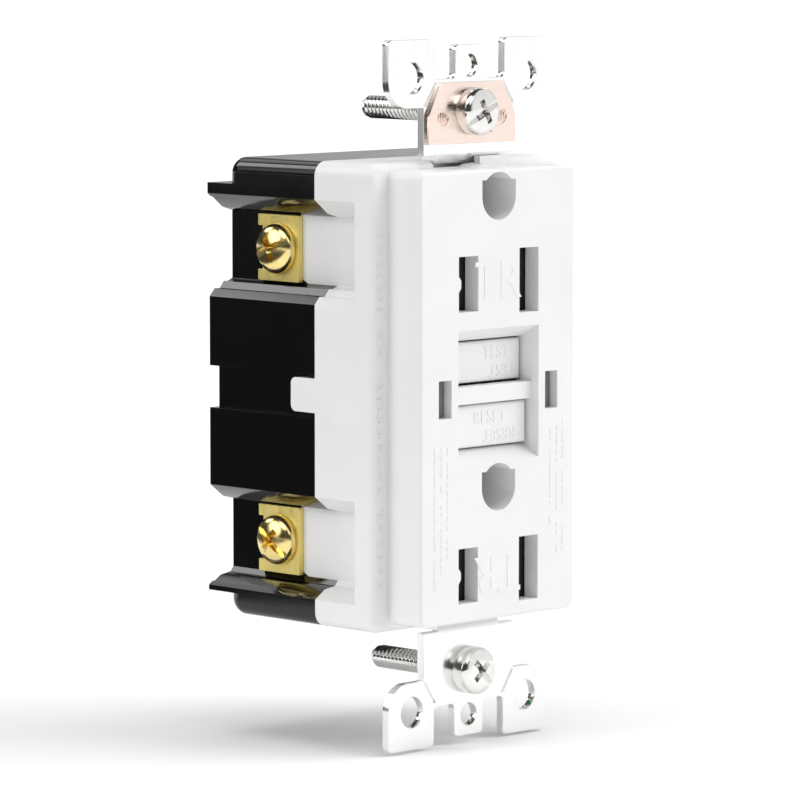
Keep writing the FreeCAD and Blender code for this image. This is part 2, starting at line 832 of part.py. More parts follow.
def make_back_cover():
    body = new_body("back_cover")
    pad(body, "XZ", "seam_y", "back_end_y", body_section())
    round_body_corners(body)
    rounded(body, "back_end_radius", lambda box: along_x(box) and near(box.YMin, "back_end_y"))
    full = ("-body_half_width", "body_half_width")
    pad(body, "XZ", "back_end_y - 6", "back_ledge_y",
        rectangle(*full, "upper_pocket_top - 0.5", "upper_ledge_top"))
    pad(body, "XZ", "back_end_y - 6", "back_ledge_y",
        rectangle(*full, "lower_ledge_bottom", "lower_pocket_bottom + 0.5"))
    pad(body, "XZ", "back_end_y - 6", "back_middle_y",
        rectangle(*full, "lower_pocket_bottom + 0.2", "upper_pocket_top - 0.2"))
    for upper in (True, False):
        for side in (-1, 1):
            pocket(body, "XZ", "seam_y - 0.1", "back_ledge_y + 0.1", pocket_outline(upper, side))
    for low, high, outline in tongues():
        pocket(body, "YZ", low, high, outline)
    for side in (-1, 1):
        pocket(body, "XZ", "seam_y - 0.1", "back_middle_y + 0.1",
               rectangle(*sided(side, "channel_half_width", "body_half_width + 0.1"),
                         "channel_bottom", "channel_top"))
    pocket(body, "XZ", "seam_y - 0.1", "back_end_cavity_y",
           cavity_outline("-cavity_half_height", "cavity_half_height"))
    pocket(body, "XZ", "back_end_cavity_y - 0.1", "back_cavity_y",
           cavity_outline("back_cavity_bottom", "back_cavity_top"))
    for x in ("-board_post_x", "board_post_x"):
        for z in ("-board_post_z", "board_post_z"):
            pad(body, "XZ", "board_rear_y", "back_cavity_y + 0.1", ("circle", x, z, "board_post_radius"))
    # windows for the clamping plates, and the wire holes beside them
    for z in ("upper_terminal_z", "lower_terminal_z"):
        for side in (-1, 1):
            pocket(body, "XZ", "clamp_window_front_y", "clamp_window_rear_y",
                   rectangle(*sided(side, "cavity_half_width - 0.1", "pocket_floor + 0.1"),
                             f"{z} - clamp_window_half", f"{z} + clamp_window_half"))
        holes = [rectangle(*sided(side, "wire_hole_inner", "wire_hole_outer"),
                           f"{z} + {way} * wire_hole_spread - wire_hole_half",
                           f"{z} + {way} * wire_hole_spread + wire_hole_half")
                 for side in (-1, 1) for way in (-1, 1)]
        pocket(body, "XZ", "clamp_window_rear_y - 0.3", "back_middle_y + 0.1", *holes)
    shanks = [("circle", x, z, "case_screw_hole_radius") for x, z in screw_corners()]
    pocket(body, "XZ", "seam_y - 0.1", "back_end_y + 0.1", *shanks)
    recesses = [("circle", x, z, "case_screw_recess_radius") for x, z in screw_corners()]
    pocket(body, "XZ", "case_screw_seat_y", "back_end_y + 0.1", *recesses)
    # a blank label recess and a wire strip gauge on the back
    pocket(body, "XZ", "back_middle_y - label_depth", "back_middle_y + 0.1",
           rectangle("-label_half_width", "label_half_width", "label_bottom", "label_top"))
    pocket(body, "XZ", "back_middle_y - label_depth", "back_middle_y + 0.1",
           rectangle("strip_gauge_left", "strip_gauge_right", "strip_gauge_z - strip_gauge_half",
                     "strip_gauge_z + strip_gauge_half"))


def make_case_screws():
    pieces = []
    for index, (x, z) in enumerate(screw_corners()):
        pieces.append(rod(f"case_shank_{index}", "+Y", "case_screw_radius",
                          "case_screw_seat_y - case_screw_tip_y + 0.2", x, "case_screw_tip_y", z))
        pieces.append(rod(f"case_head_{index}", "+Y", "case_screw_head_radius",
                          "case_screw_head_y - case_screw_seat_y", x, "case_screw_seat_y", z))
    node(joined("case_screws", pieces), "case_screws")


# ---- strap ----


def strap_end(sign):
    """The outline of one end of the strap: neck, shoulders, two plaster ears and the cover-plate tab."""
    right_side = [
        ("neck_half_width", "leg_inner_z"),
        ("neck_half_width", "strap_shoulder_z"),
        ("strap_half_width", "strap_shoulder_z"),
        ("strap_half_width", "ear_bottom_z"),
        ("ear_outer", "ear_bottom_z"),
        ("ear_outer", "ear_top_z"),
        ("ear_inner", "ear_top_z"),
        ("ear_inner", "strap_top_z"),
        ("tab_half_width", "strap_top_z"),
        ("tab_half_width", "tab_top_z"),
    ]
    return mirrored([(u, v if sign > 0 else neg(v)) for u, v in right_side])


def spine_outline():
    """The flat bar inside the covers: wide where a grounding pin passes, narrow between the slots."""
    upper = "ground_axis_z - ground_bar_half_height"
    lower = "lower_ground_axis_z - ground_bar_half_height"
    return mirrored([
        ("neck_half_width", "-leg_outer_z"),
        ("neck_half_width", "-cavity_half_height + 0.8"),
        ("spine_half_width", "-cavity_half_height + 1.4"),
        ("spine_half_width", f"{lower} - 2"),
        ("neck_half_width", lower),
        ("neck_half_width", "-ring_outer_z"),
        ("ring_outer", "-ring_outer_z"),
        ("ring_outer", "ring_outer_z"),
        ("spine_half_width", "ring_outer_z"),
        ("spine_half_width", f"{upper} - 1.6"),
        ("neck_half_width", upper),
        ("neck_half_width", "leg_outer_z"),
    ])


def make_mounting_strap():
    body = new_body("mounting_strap")
    pad(body, "XZ", "bar_y", "bar_y + strap_thick", spine_outline())
    neck = ("-neck_half_width", "neck_half_width")
    pad(body, "XZ", "0", "bar_y + 0.2", rectangle(*neck, "leg_inner_z", "leg_outer_z"),
        rectangle(*neck, "-leg_outer_z", "-leg_inner_z"))
    for sign in (1, -1):
        pad(body, "XZ", "0", "strap_thick", strap_end(sign))
    pocket(body, "XZ", "bar_y - 0.1", "bar_y + strap_thick + 0.1",
           rectangle("-ring_inner", "ring_inner", "-ring_inner_z", "ring_inner_z"))
    # bends
    rounded(body, "leg_bend_radius",
            lambda box: along_x(box) and near(box.YMin, "0") and near(abs(box.ZMin), "leg_inner_z"))
    rounded(body, "leg_bend_radius", lambda box: along_x(box) and near(box.YMin, "bar_y + strap_thick")
            and near(abs(box.ZMin), "leg_outer_z"))
    rounded(body, "ear_radius", lambda box: along_y(box) and near(abs(box.XMin), "ear_outer")
            and near(abs(box.ZMin), "ear_bottom_z"))
    rounded(body, "strap_corner_radius",
            lambda box: along_y(box) and box.YLength < number("strap_thick + 0.1")
            and abs(box.ZMin) > number("strap_top_z - 0.1"))
    # holes for the ears, the cover plate, the mounting screws and the grounding pins
    for z_sign in ("", "-"):
        for x_sign in ("", "-"):
            pocket(body, "XZ", "-0.1", "strap_thick + 0.1",
                   ("circle", f"{x_sign}ear_hole_x", f"{z_sign}ear_hole_z", "ear_hole_radius"))
            make_score(body, x_sign, z_sign)
        pocket(body, "XZ", "-0.1", "strap_thick + 0.1",
               ("circle", "0", f"{z_sign}plate_hole_z", "plate_hole_radius"))
        pocket(body, "XZ", "-0.1", "strap_thick + 0.1",
               ("circle", "0", f"{z_sign}box_hole_z", "box_hole_radius"))
    for axis_z in ("ground_axis_z", "lower_ground_axis_z"):
        pocket(body, "XZ", "bar_y - 0.1", "bar_y + strap_thick + 0.1",
               ("circle", "0", axis_z, "ground_bar_hole_radius"))
    # grounding tab, bent back from the lower right edge
    pad(body, "YZ", "strap_half_width - strap_thick", "strap_half_width",
        rectangle("strap_thick - 0.2", "ground_tab_rear_y", "ground_tab_outer_z", "ground_tab_inner_z"))
    pocket(body, "YZ", "strap_half_width - strap_thick - 0.1", "strap_half_width + 0.1",
           ("circle", "ground_screw_y", "ground_screw_z", "screw_running_radius"))


def make_score(body, x_sign, z_sign):
    """A shallow groove along the line where a plaster ear snaps off."""
    corners = [
        ("ear_inner - score_width", "strap_top_z - 0.6"),
        ("ear_inner", "strap_top_z - 0.6"),
        ("strap_half_width", "ear_bottom_z + 0.2"),
        ("strap_half_width - score_width", "ear_bottom_z + 0.2"),
    ]
    outline = [(f"{x_sign}({u})", f"{z_sign}({v})") for u, v in corners]
    pocket(body, "XZ", "-0.1", "score_depth", outline)


def make_self_ground_clip():
    body = new_body("self_ground_clip")
    pad(body, "XZ", "-clip_thick", "0", mirrored([
        ("clip_half_width", "clip_bottom_z"),
        ("clip_half_width", "clip_knee_z"),
        ("clip_top_half_width", "clip_top_z"),
    ]))
    pocket(body, "XZ", "-clip_thick - 0.1", "0.1", ("circle", "0", "box_hole_z", "clip_hole_radius"))
    pocket(body, "XZ", "-clip_thick - 0.1", "0.1", [
        ("clip_slit_x + 0.7", "clip_slit_bottom_z"),
        ("clip_slit_x + 0.7 + clip_slit_width", "clip_slit_bottom_z"),
        ("clip_slit_x + clip_slit_width", "clip_knee_z - 1"),
        ("clip_slit_x + clip_slit_width", "clip_slit_top_z"),
        ("clip_slit_x", "clip_slit_top_z"),
        ("clip_slit_x", "clip_knee_z - 1"),
    ])
    dimples = [("circle", f"{sign}clip_dimple_x", "clip_dimple_z", "clip_dimple_radius") for sign in ("", "-")]
    pocket(body, "XZ", "-clip_thick - 0.1", "clip_dimple_depth - clip_thick", *dimples)


# ---- screws ----


def make_screw(label, head_radius, head_high, dome, shank_length, neck_length, where, turn):
    """A domed screw: its head stands up from the seat along the axis and its shank runs the other way.

    The shank is full size below a slightly relieved neck.
    """
    body = new_body(label)
    revolve(body, [
        ("0", f"-({shank_length})"),
        ("box_screw_radius - 0.6", f"-({shank_length})"),
        ("box_screw_radius", f"box_screw_tip_taper - ({shank_length})"),
        ("box_screw_radius", f"-({neck_length})"),
        ("screw_neck_radius", f"-({neck_length})"),
        ("screw_neck_radius", "0"),
        (head_radius, "0"),
        (head_radius, head_high),
        ("0", head_high),
    ])
    rounded(body, dome, lambda box: near(box.ZMin, head_high) and near(box.ZMax, head_high)
            and near(box.XMax, head_radius, 0.1))
    place(body, *where, TURNS[turn])
    return body


def make_mounting_screws():
    for label, z, seat_y, tip_y in (
        ("upper", "box_hole_z", "-clip_thick", "upper_box_screw_tip_y"),
        ("lower", "-box_hole_z", "0", "lower_box_screw_tip_y"),
    ):
        make_screw(f"{label}_mounting_screw", "box_screw_head_radius", "box_screw_head_high",
                   "box_screw_dome", f"{tip_y} - ({seat_y})", f"box_screw_thread_y - ({seat_y})",
                   ("0", seat_y, z), "-Y")
        name = f"{label}_screw_retainer"
        node(ring(name, "+Y", "retainer_radius", "screw_running_radius", "retainer_thick",
                  "0", "retainer_front_y", z), name)


def make_terminals():
    """Four side terminals of plate, screw and inner clamping plate: hot left, neutral right."""
    for end, z, low, high in (
        ("line", "upper_terminal_z", "upper_pocket_floor_bottom", "upper_pocket_floor_top"),
        ("load", "lower_terminal_z", "lower_pocket_floor_bottom", "lower_pocket_floor_top"),
    ):
        for pole, side in (("hot", -1), ("neutral", 1)):
            name = f"{end}_{pole}"
            make_terminal_plate(f"{name}_terminal", side, z, low, high)
            sign = "-" if side < 0 else ""
            make_screw(f"{name}_screw", "terminal_head_radius", "terminal_head_high", "terminal_head_dome",
                       "terminal_outer - terminal_shank_inner", "terminal_neck",
                       (f"{sign}terminal_outer", "terminal_screw_y", z), "-X" if side < 0 else "+X")
            make_clamp(f"{name}_clamp", side, z)


def make_terminal_plate(label, side, z, low, high):
    body = new_body(label)
    pad(body, "YZ", *sided(side, "pocket_floor", "terminal_outer"),
        rectangle("terminal_front_y", "terminal_rear_y",
                  f"{low} + terminal_margin", f"{high} - terminal_margin"))
    pocket(body, "YZ", *sided(side, "pocket_floor - 0.1", "terminal_outer + 0.1"),
           rectangle("terminal_rear_y - terminal_notch_deep", "terminal_rear_y + 0.1",
                     f"{z} - terminal_notch_half", f"{z} + terminal_notch_half"))
    leg = (f"{z} - terminal_leg_half", f"{z} + terminal_leg_half")
    pad(body, "YZ", *sided(side, "terminal_foot_inner", "pocket_floor + 0.2"),
        rectangle("terminal_leg_front_y - 0.8", "terminal_rear_y - terminal_notch_deep", *leg))
    pad(body, "YZ", *sided(side, "terminal_foot_inner", "terminal_foot_outer"),
        rectangle("terminal_leg_front_y - 0.8", "board_front_y", *leg))
    pocket(body, "YZ", *sided(side, "pocket_floor - 0.1", "terminal_outer + 0.1"),
           ("circle", "terminal_screw_y", z, "screw_running_radius"))


def make_clamp(label, side, z):
    body = new_body(label)
    pad(body, "YZ", *sided(side, "clamp_inner", "clamp_outer"),
        rectangle("clamp_front_y", "terminal_leg_front_y - 1", f"{z} - clamp_half", f"{z} + clamp_half"))
    pocket(body, "YZ", *sided(side, "clamp_inner - 0.1", "clamp_outer + 0.1"),
           ("circle", "terminal_screw_y", z, "screw_running_radius"))


def make_ground_screw():
    shank = rod("ground_shank", "+X", "box_screw_radius", "ground_clamp_outer - ground_shank_inner + 0.2",
                "ground_shank_inner", "ground_screw_y", "ground_screw_z")
    washer = rod("ground_washer", "+X", "ground_washer_radius", "ground_washer_high",
                 "ground_clamp_outer", "ground_screw_y", "ground_screw_z")
    hexagon = hidden("Part::Prism", "ground_hexagon")
    hexagon.Polygon = 6
    bind(hexagon, "Circumradius", "ground_head_radius")
    bind(hexagon, "Height", "ground_head_high - ground_washer_high + 0.1")
    place(hexagon, "ground_clamp_outer + ground_washer_high - 0.1", "ground_screw_y", "ground_screw_z",
          TURNS["+X"])
    node(joined("ground_screw", [shank, washer, hexagon]), "ground_screw")
    body = new_body("ground_clamp")
    pad(body, "YZ", "strap_half_width", "ground_clamp_outer",
        rectangle("ground_screw_y - ground_clamp_half", "ground_screw_y + ground_clamp_half",
                  "ground_screw_z - ground_clamp_half", "ground_screw_z + ground_clamp_half"))
    pocket(body, "YZ", "strap_half_width - 0.1", "ground_clamp_outer + 0.1",
           ("circle", "ground_screw_y", "ground_screw_z", "screw_running_radius"))


# ---- buttons ----


def make_button(label, face_y, bottom, top):
    body = new_body(label)
    pad(body, "XZ", face_y, "button_rear_y",
        rectangle("-button_half_width", "button_half_width", bottom, top))
    rounded(body, "button_edge_radius",
            lambda box: near(box.YMin, face_y) and near(box.YMax, face_y))
    pad(body, "XZ", "flange_front_y", "flange_rear_y",
        rectangle("-flange_half_width", "flange_half_width", f"{bottom} + 0.4", f"{top} - 0.4"))
    return body


def make_test_button():
    body = make_button("test_button", "test_face_y", "test_bottom", "test_top")
    pad(body, "XZ", "button_rear_y - 0.2", "test_stem_y", ("circle", "0", "test_axis_z", "test_stem_radius"))
    pad(body, "XZ", "button_rear_y - 0.2", "test_lug_y",
        rectangle("test_lug_inner", "test_lug_outer",
                  "test_axis_z - test_lug_half", "test_axis_z + test_lug_half"))
    node(ring("test_spring", "+Y", "button_spring_outer", "test_spring_bore",
              "tray_floor_y - spring_gap - test_spring_front_y", "0", "test_spring_front_y", "test_axis_z"),
         "test_spring")
    leaf = new_body("test_contact")
    pad(leaf, "XZ", "test_leaf_front_y", "test_leaf_front_y + test_leaf_thick",
        rectangle("test_leaf_left", "test_leaf_right", "test_leaf_bottom", "test_leaf_top"))
    pad(leaf, "XZ", "test_leaf_front_y", "tray_floor_y",
        rectangle("test_leaf_right - test_leaf_thick", "test_leaf_right",
                  "test_leaf_bottom", "test_leaf_top"))


def make_reset_button():
    body = make_button("reset_button", "reset_face_y", "reset_bottom", "reset_top")
    pad(body, "XZ", "button_rear_y - 0.2", "reset_boss_y",
        ("circle", "0", "reset_axis_z", "reset_boss_radius"))
    pin = new_body("reset_pin")
    revolve(pin, [
        ("0", "0"),
        ("reset_pin_radius", "0"),
        ("reset_pin_radius", "reset_pin_head_y - reset_boss_y"),
        ("reset_pin_head_radius", "reset_pin_head_y - reset_boss_y"),
        ("reset_pin_head_radius", "reset_pin_tip_y - reset_boss_y - 0.8"),
        ("reset_pin_radius - 0.4", "reset_pin_tip_y - reset_boss_y"),
        ("0", "reset_pin_tip_y - reset_boss_y"),
    ])
    place(pin, "0", "reset_boss_y", "reset_axis_z", TURNS["+Y"])
    node(ring("reset_spring", "+Y", "button_spring_outer", "reset_spring_bore",
              "tray_floor_y - spring_gap - reset_spring_front_y", "0", "reset_spring_front_y", "reset_axis_z"),
         "reset_spring")


def make_shutters():
    for end, z in (("upper", "upper_blade_z"), ("lower", "lower_blade_z")):
        body = new_body(f"{end}_shutter")
        pad(body, "XZ", "shutter_front_y", "shutter_rear_y",
            rectangle("shutter_left", "shutter_right",
                      f"{z} - shutter_half_height", f"{z} + shutter_half_height"))
        for blade in ("-blade_offset", "blade_offset"):
            centre = f"{blade} - shutter_travel"
            pocket(body, "XZ", "shutter_front_y - 0.1", "shutter_rear_y + 0.1",
                   rectangle(f"{centre} - shutter_gate_half", f"{centre} + shutter_gate_half",
                             f"{z} - shutter_gate_half_height", f"{z} + shutter_gate_half_height"))
        node(ring(f"{end}_shutter_spring", "+X", "shutter_spring_radius", "shutter_spring_radius / 2",
                  "shutter_spring_right - shutter_right - spring_gap", "shutter_right + spring_gap",
                  "shutter_spring_y", z), f"{end}_shutter_spring")


# ---- contact tray and contacts ----


def make_contact_tray():
    body = new_body("contact_tray")
    outer = rectangle("-tray_half_width", "tray_half_width", "-tray_half_height", "tray_half_height")
    inner = rectangle("tray_rim - tray_half_width", "tray_half_width - tray_rim",
                      "tray_rim - tray_half_height", "tray_half_height - tray_rim")
    pad(body, "XZ", "tray_front_y", "tray_rear_y", outer)
    pocket(body, "XZ", "tray_front_y - 0.1", "tray_floor_y", inner)
    for z in ("upper_blade_z", "lower_blade_z"):
        for side in (-1, 1):
            u_low, u_high = sided(side, "tray_rib_inner", "tray_rib_outer")
            pad(body, "XZ", "tray_front_y", "tray_floor_y + 0.1",
                rectangle(u_low, u_high, f"{z} - grip_half_height", f"{z} + grip_half_height"))
    for side in (-1, 1):
        u_low, u_high = sided(side, "tray_window_inner", "tray_window_outer")
        pocket(body, "XZ", "tray_floor_y - 0.1", "tray_rear_y + 0.1",
               rectangle(u_low, u_high, "tray_window_bottom", "tray_window_top"))
    pocket(body, "XZ", "tray_floor_y - 0.1", "tray_rear_y + 0.1",
           ("circle", "0", "reset_axis_z", "tray_pin_hole_radius"))
    pad(body, "XZ", "tray_floor_y + 0.1", "guide_rear_y",
        *[("circle", x, "guide_z", "guide_radius") for x in ("-guide_x", "guide_x")])


def make_face_contacts():
    for pole, side in (("hot", -1), ("neutral", 1)):
        body = new_body(f"{pole}_face_contact")
        strip = sided(side, "grip_outer_inner", "grip_outer")
        pad(body, "XZ", "grip_front_y", "grip_rear_y",
            rectangle(*strip, "lower_blade_z - grip_half_height", "upper_blade_z + grip_half_height"))
        for z in ("upper_blade_z", "lower_blade_z"):
            span = (f"{z} - grip_half_height", f"{z} + grip_half_height")
            pad(body, "XZ", "grip_web_y", "grip_rear_y",
                rectangle(*sided(side, "grip_inner", "grip_outer"), *span))
            pad(body, "XZ", "grip_front_y", "grip_rear_y",
                rectangle(*sided(side, "grip_inner", "grip_inner_outer"), *span))
        pad(body, "XZ", "grip_rear_y - 0.1", "contact_tab_y",
            rectangle(*strip, "contact_tab_bottom", "contact_tab_top"))
        pad(body, "XZ", "contact_tab_front_y", "contact_tab_y",
            rectangle(*sided(side, "contact_tab_inner", "contact_tab_outer"),
                      "contact_tab_bottom", "contact_tab_top"))
        pad(body, "XZ", "contact_tab_y - 0.1", "contact_tab_y + contact_pad_high",
            ("circle", f"{side} * (grip_outer_inner)", "contact_pad_z", "contact_pad_radius"))


def make_ground_contacts():
    for end, z in (("upper", "ground_axis_z"), ("lower", "lower_ground_axis_z")):
        body = new_body(f"{end}_ground_contact")
        pad(body, "XZ", "ground_plate_y", "ground_plate_rear_y",
            rectangle("-ground_plate_half_width", "ground_plate_half_width",
                      f"{z} - ground_plate_half_height", f"{z} + ground_plate_half_height"))
        for side in (-1, 1):
            pad(body, "XZ", "ground_plate_y", "ground_leaf_y",
                rectangle(*sided(side, "ground_leaf_inner", "ground_leaf_outer"),
                          f"{z} - ground_leaf_half_height", f"{z} + ground_leaf_half_height"))
        pocket(body, "XZ", "ground_plate_y - 0.1", "ground_plate_rear_y + 0.1",
               ("circle", "0", z, "ground_bar_hole_radius"))


def make_carriage():
    body = new_body("contact_carriage")
    pad(body, "XZ", "carriage_front_y", "carriage_rear_y",
        rectangle("-carriage_half_width", "carriage_half_width", "carriage_bottom", "carriage_top"))
    pocket(body, "XZ", "carriage_front_y - 0.1", "carriage_rear_y + 0.1",
           ("circle", "0", "reset_axis_z", "carriage_pin_hole"),
           *[("circle", x, "guide_z", "carriage_guide_hole") for x in ("-guide_x", "guide_x")])
    bridges = []
    bridge_y = "carriage_front_y - bridge_thick"
    for side in (-1, 1):
        low, high = sided(side, "bridge_inner", "bridge_outer")
        bridges.append(cuboid(f"bridge_strip_{low}", low, high, bridge_y, "carriage_front_y",
                              "bridge_bottom", "bridge_top"))
        bridges.append(rod(f"bridge_pad_{low}", "-Y", "contact_pad_radius",
                           f"{bridge_y} - contact_tab_y - contact_pad_high - contact_gap + 0.1",
                           f"{side} * grip_outer_inner", f"{bridge_y} + 0.1", "contact_pad_z"))
    node(joined("bridge_contacts", bridges), "bridge_contacts")
    springs = [ring(f"carriage_spring_{x}", "+Y", "carriage_spring_outer", "carriage_spring_bore",
                    "carriage_front_y - tray_rear_y - 2 * spring_gap",
                    x, "tray_rear_y + spring_gap", "guide_z")
               for x in ("-guide_x", "guide_x")]
    node(joined("carriage_springs", springs), "carriage_springs")


# ---- circuit board ----


def make_circuit_board():
    body = new_body("circuit_board")
    pad(body, "XZ", "board_front_y", "board_rear_y",
        rectangle("-board_half_width", "board_half_width", "board_bottom", "board_top"))
    pocket(body, "XZ", "board_front_y - 0.1", "board_rear_y + 0.1",
           *[("circle", x, "conductor_z", "conductor_hole_radius") for x in ("-conductor_x", "conductor_x")])
    conductors = [rod(f"conductor_{x}", "+Y", "conductor_radius", "conductor_rear_y - conductor_front_y",
                      x, "conductor_front_y", "conductor_z") for x in ("-conductor_x", "conductor_x")]
    node(joined("line_conductors", conductors), "line_conductors")
    node(cuboid("control_chip", "chip_left", "chip_right", "chip_front_y", "board_front_y",
                "chip_bottom", "chip_top"), "control_chip")
    node(rod("surge_varistor", "+X", "varistor_radius", "varistor_right - varistor_left",
             "varistor_left", "varistor_y", "varistor_z"), "surge_varistor")
    capacitors = [rod(f"capacitor_{x}", "+Y", "capacitor_radius", "board_front_y - capacitor_front_y",
                      x, "capacitor_front_y", "capacitor_z") for x in ("-capacitor_x", "capacitor_x")]
    node(joined("filter_capacitors", capacitors), "filter_capacitors")
    diodes = []
    for index in range(4):
        centre = f"({index} - 1.5) * diode_step"
        diodes.append(cuboid(f"diode_{index}", f"{centre} - diode_half", f"{centre} + diode_half",
                             "diode_front_y", "board_front_y", "diode_bottom", "diode_top"))
    node(joined("rectifier_diodes", diodes), "rectifier_diodes")
    node(rod("test_resistor", "+X", "resistor_radius", "resistor_right - resistor_left",
             "resistor_left", "resistor_y", "resistor_z"), "test_resistor")


def make_transformers():
    body = new_body("transformer_housing")
    revolve(body, [
        ("transformer_tube_inner", "0"),
        ("transformer_outer", "0"),
        ("transformer_outer", "transformer_rear_y - transformer_front_y"),
        ("transformer_inner", "transformer_rear_y - transformer_front_y"),
        ("transformer_inner", "transformer_face_y - transformer_front_y"),
        ("transformer_tube_outer", "transformer_face_y - transformer_front_y"),
        ("transformer_tube_outer", "transformer_rear_y - transformer_front_y"),
        ("transformer_tube_inner", "transformer_rear_y - transformer_front_y"),
    ])
    place(body, "0", "transformer_front_y", "conductor_z", TURNS["+Y"])
    for label, start, end in (("sensing_core", "front_core_y", "front_core_rear_y"),
                              ("neutral_core", "rear_core_y", "rear_core_rear_y")):
        core = ring(label, "+Y", "core_outer", "core_inner", f"{end} - {start}", "0", start, "conductor_z")
        node(core, label)


def make_solenoid():
    bobbin = new_body("solenoid_bobbin")
    length = "bobbin_top - bobbin_bottom"
    revolve(bobbin, [
        ("bobbin_bore_radius", "0"),
        ("bobbin_flange_radius", "0"),
        ("bobbin_flange_radius", "bobbin_flange"),
        ("bobbin_tube_radius", "bobbin_flange"),
        ("bobbin_tube_radius", f"{length} - bobbin_flange"),
        ("bobbin_flange_radius", f"{length} - bobbin_flange"),
        ("bobbin_flange_radius", length),
        ("bobbin_bore_radius", length),
    ])
    place(bobbin, "0", "solenoid_y", "bobbin_bottom")
    node(ring("solenoid_coil", "+Z", "coil_radius", "bobbin_tube_radius", f"{length} - 2 * bobbin_flange",
              "0", "solenoid_y", "bobbin_bottom + bobbin_flange"), "solenoid_coil")
    yoke = new_body("solenoid_yoke")
    pad(yoke, "YZ", "-yoke_half_width", "yoke_half_width", [
        ("yoke_front_y", "bobbin_bottom - yoke_thick"),
        ("yoke_rear_y", "bobbin_bottom - yoke_thick"),
        ("yoke_rear_y", "bobbin_top + yoke_thick"),
        ("yoke_front_y", "bobbin_top + yoke_thick"),
        ("yoke_front_y", "bobbin_top"),
        ("yoke_rear_y - yoke_thick", "bobbin_top"),
        ("yoke_rear_y - yoke_thick", "bobbin_bottom"),
        ("yoke_front_y", "bobbin_bottom"),
    ])
    pocket(yoke, "XY", "bobbin_bottom - yoke_thick - 0.1", "bobbin_top + yoke_thick + 0.1",
           ("circle", "0", "solenoid_y", "yoke_hole_radius"))
    plunger = new_body("solenoid_plunger")
    height = "plunger_top - plunger_bottom"
    revolve(plunger, [
        ("0", "0"),
        ("plunger_radius", "0"),
        ("plunger_radius", f"{height} - plunger_flange_high"),
        ("plunger_flange_radius", f"{height} - plunger_flange_high"),
        ("plunger_flange_radius", height),
        ("0", height),
    ])
    place(plunger, "0", "solenoid_y", "plunger_bottom")
    seat = "bobbin_top + yoke_thick + spring_gap"
    node(ring("plunger_spring", "+Z", "plunger_spring_outer", "plunger_spring_bore",
              f"plunger_top - plunger_flange_high - spring_gap - ({seat})", "0", "solenoid_y", seat),
         "plunger_spring")
    latch = new_body("latch_plate")
    pad(latch, "XZ", "latch_front_y", "latch_rear_y",
        rectangle("-latch_half_width", "latch_half_width", "plunger_top", "latch_top"))
    pocket(latch, "XZ", "latch_front_y - 0.1", "latch_rear_y + 0.1",
           ("circle", "0", "reset_axis_z", "latch_slot_radius"))
    pocket(latch, "XZ", "latch_front_y - 0.1", "latch_rear_y + 0.1",
           ("circle", "0", "reset_axis_z + latch_key_offset", "latch_key_radius"))


def check_everything():
    doc.recompute()
    for thing in doc.Objects:
        bad = [word for word in thing.State if word in ("Invalid", "Error")]
        if bad:
            raise RuntimeError(f"{thing.Label} is {bad}")
    for thing in nodes:
        shape = thing.Shape
        if shape.isNull() or not shape.isValid() or not shape.Solids:
            raise RuntimeError(f"{thing.Label} has no valid solid")


def write_parts():
    os.makedirs("parts", exist_ok=True)
    for thing in nodes:
        thing.Shape.exportStep(os.path.join("parts", f"{thing.Label}.step"))
    print(f"{len(nodes)} nodes written")


make_front_cover()
make_back_cover()
make_case_screws()
make_mounting_strap()
make_self_ground_clip()
make_mounting_screws()
make_terminals()
make_ground_screw()
make_test_button()
make_reset_button()
make_shutters()
make_contact_tray()
make_face_contacts()
make_ground_contacts()
make_carriage()
make_circuit_board()
make_transformers()
make_solenoid()
check_everything()
write_parts()
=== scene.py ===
import json
import math
import random

import bmesh
import bpy
from mathutils import Matrix, Vector


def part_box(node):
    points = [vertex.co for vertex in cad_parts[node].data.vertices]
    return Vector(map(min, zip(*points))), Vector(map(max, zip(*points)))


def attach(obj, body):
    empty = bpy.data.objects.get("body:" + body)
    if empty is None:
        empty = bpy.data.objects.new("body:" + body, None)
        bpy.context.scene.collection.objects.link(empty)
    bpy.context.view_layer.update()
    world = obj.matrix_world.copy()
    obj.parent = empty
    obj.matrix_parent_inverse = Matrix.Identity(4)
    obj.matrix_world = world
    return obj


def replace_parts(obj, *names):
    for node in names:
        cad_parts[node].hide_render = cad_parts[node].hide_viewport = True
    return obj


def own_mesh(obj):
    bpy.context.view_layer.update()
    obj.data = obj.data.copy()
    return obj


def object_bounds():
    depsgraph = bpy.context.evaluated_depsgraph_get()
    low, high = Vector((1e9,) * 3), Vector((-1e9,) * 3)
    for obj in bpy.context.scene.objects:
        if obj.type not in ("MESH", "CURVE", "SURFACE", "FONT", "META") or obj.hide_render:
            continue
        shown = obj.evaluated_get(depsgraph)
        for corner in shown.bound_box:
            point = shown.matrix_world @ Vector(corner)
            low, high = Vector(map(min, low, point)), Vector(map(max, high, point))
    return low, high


MM = 0.001

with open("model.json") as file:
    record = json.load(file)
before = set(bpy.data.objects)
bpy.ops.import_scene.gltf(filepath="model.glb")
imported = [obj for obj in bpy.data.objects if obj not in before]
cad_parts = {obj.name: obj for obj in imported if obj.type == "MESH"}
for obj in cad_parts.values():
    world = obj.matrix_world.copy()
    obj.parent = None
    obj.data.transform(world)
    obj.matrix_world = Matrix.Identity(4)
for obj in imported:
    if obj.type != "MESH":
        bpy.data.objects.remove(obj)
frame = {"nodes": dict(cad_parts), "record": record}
cad_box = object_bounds()
nodes = frame["nodes"]
record = frame["record"]
body_of = {node: body for body, members in record["behaviour"]["bodies"].items() for node in members}
slot_of = {part["node"]: part["material_slot"] for part in record["subparts"]}


def linked(name, data):
    """A new object in the scene, for a mesh, a curve, a lamp or a camera."""
    thing = bpy.data.objects.new(name, data)
    bpy.context.scene.collection.objects.link(thing)
    return thing


# ---- camera ----

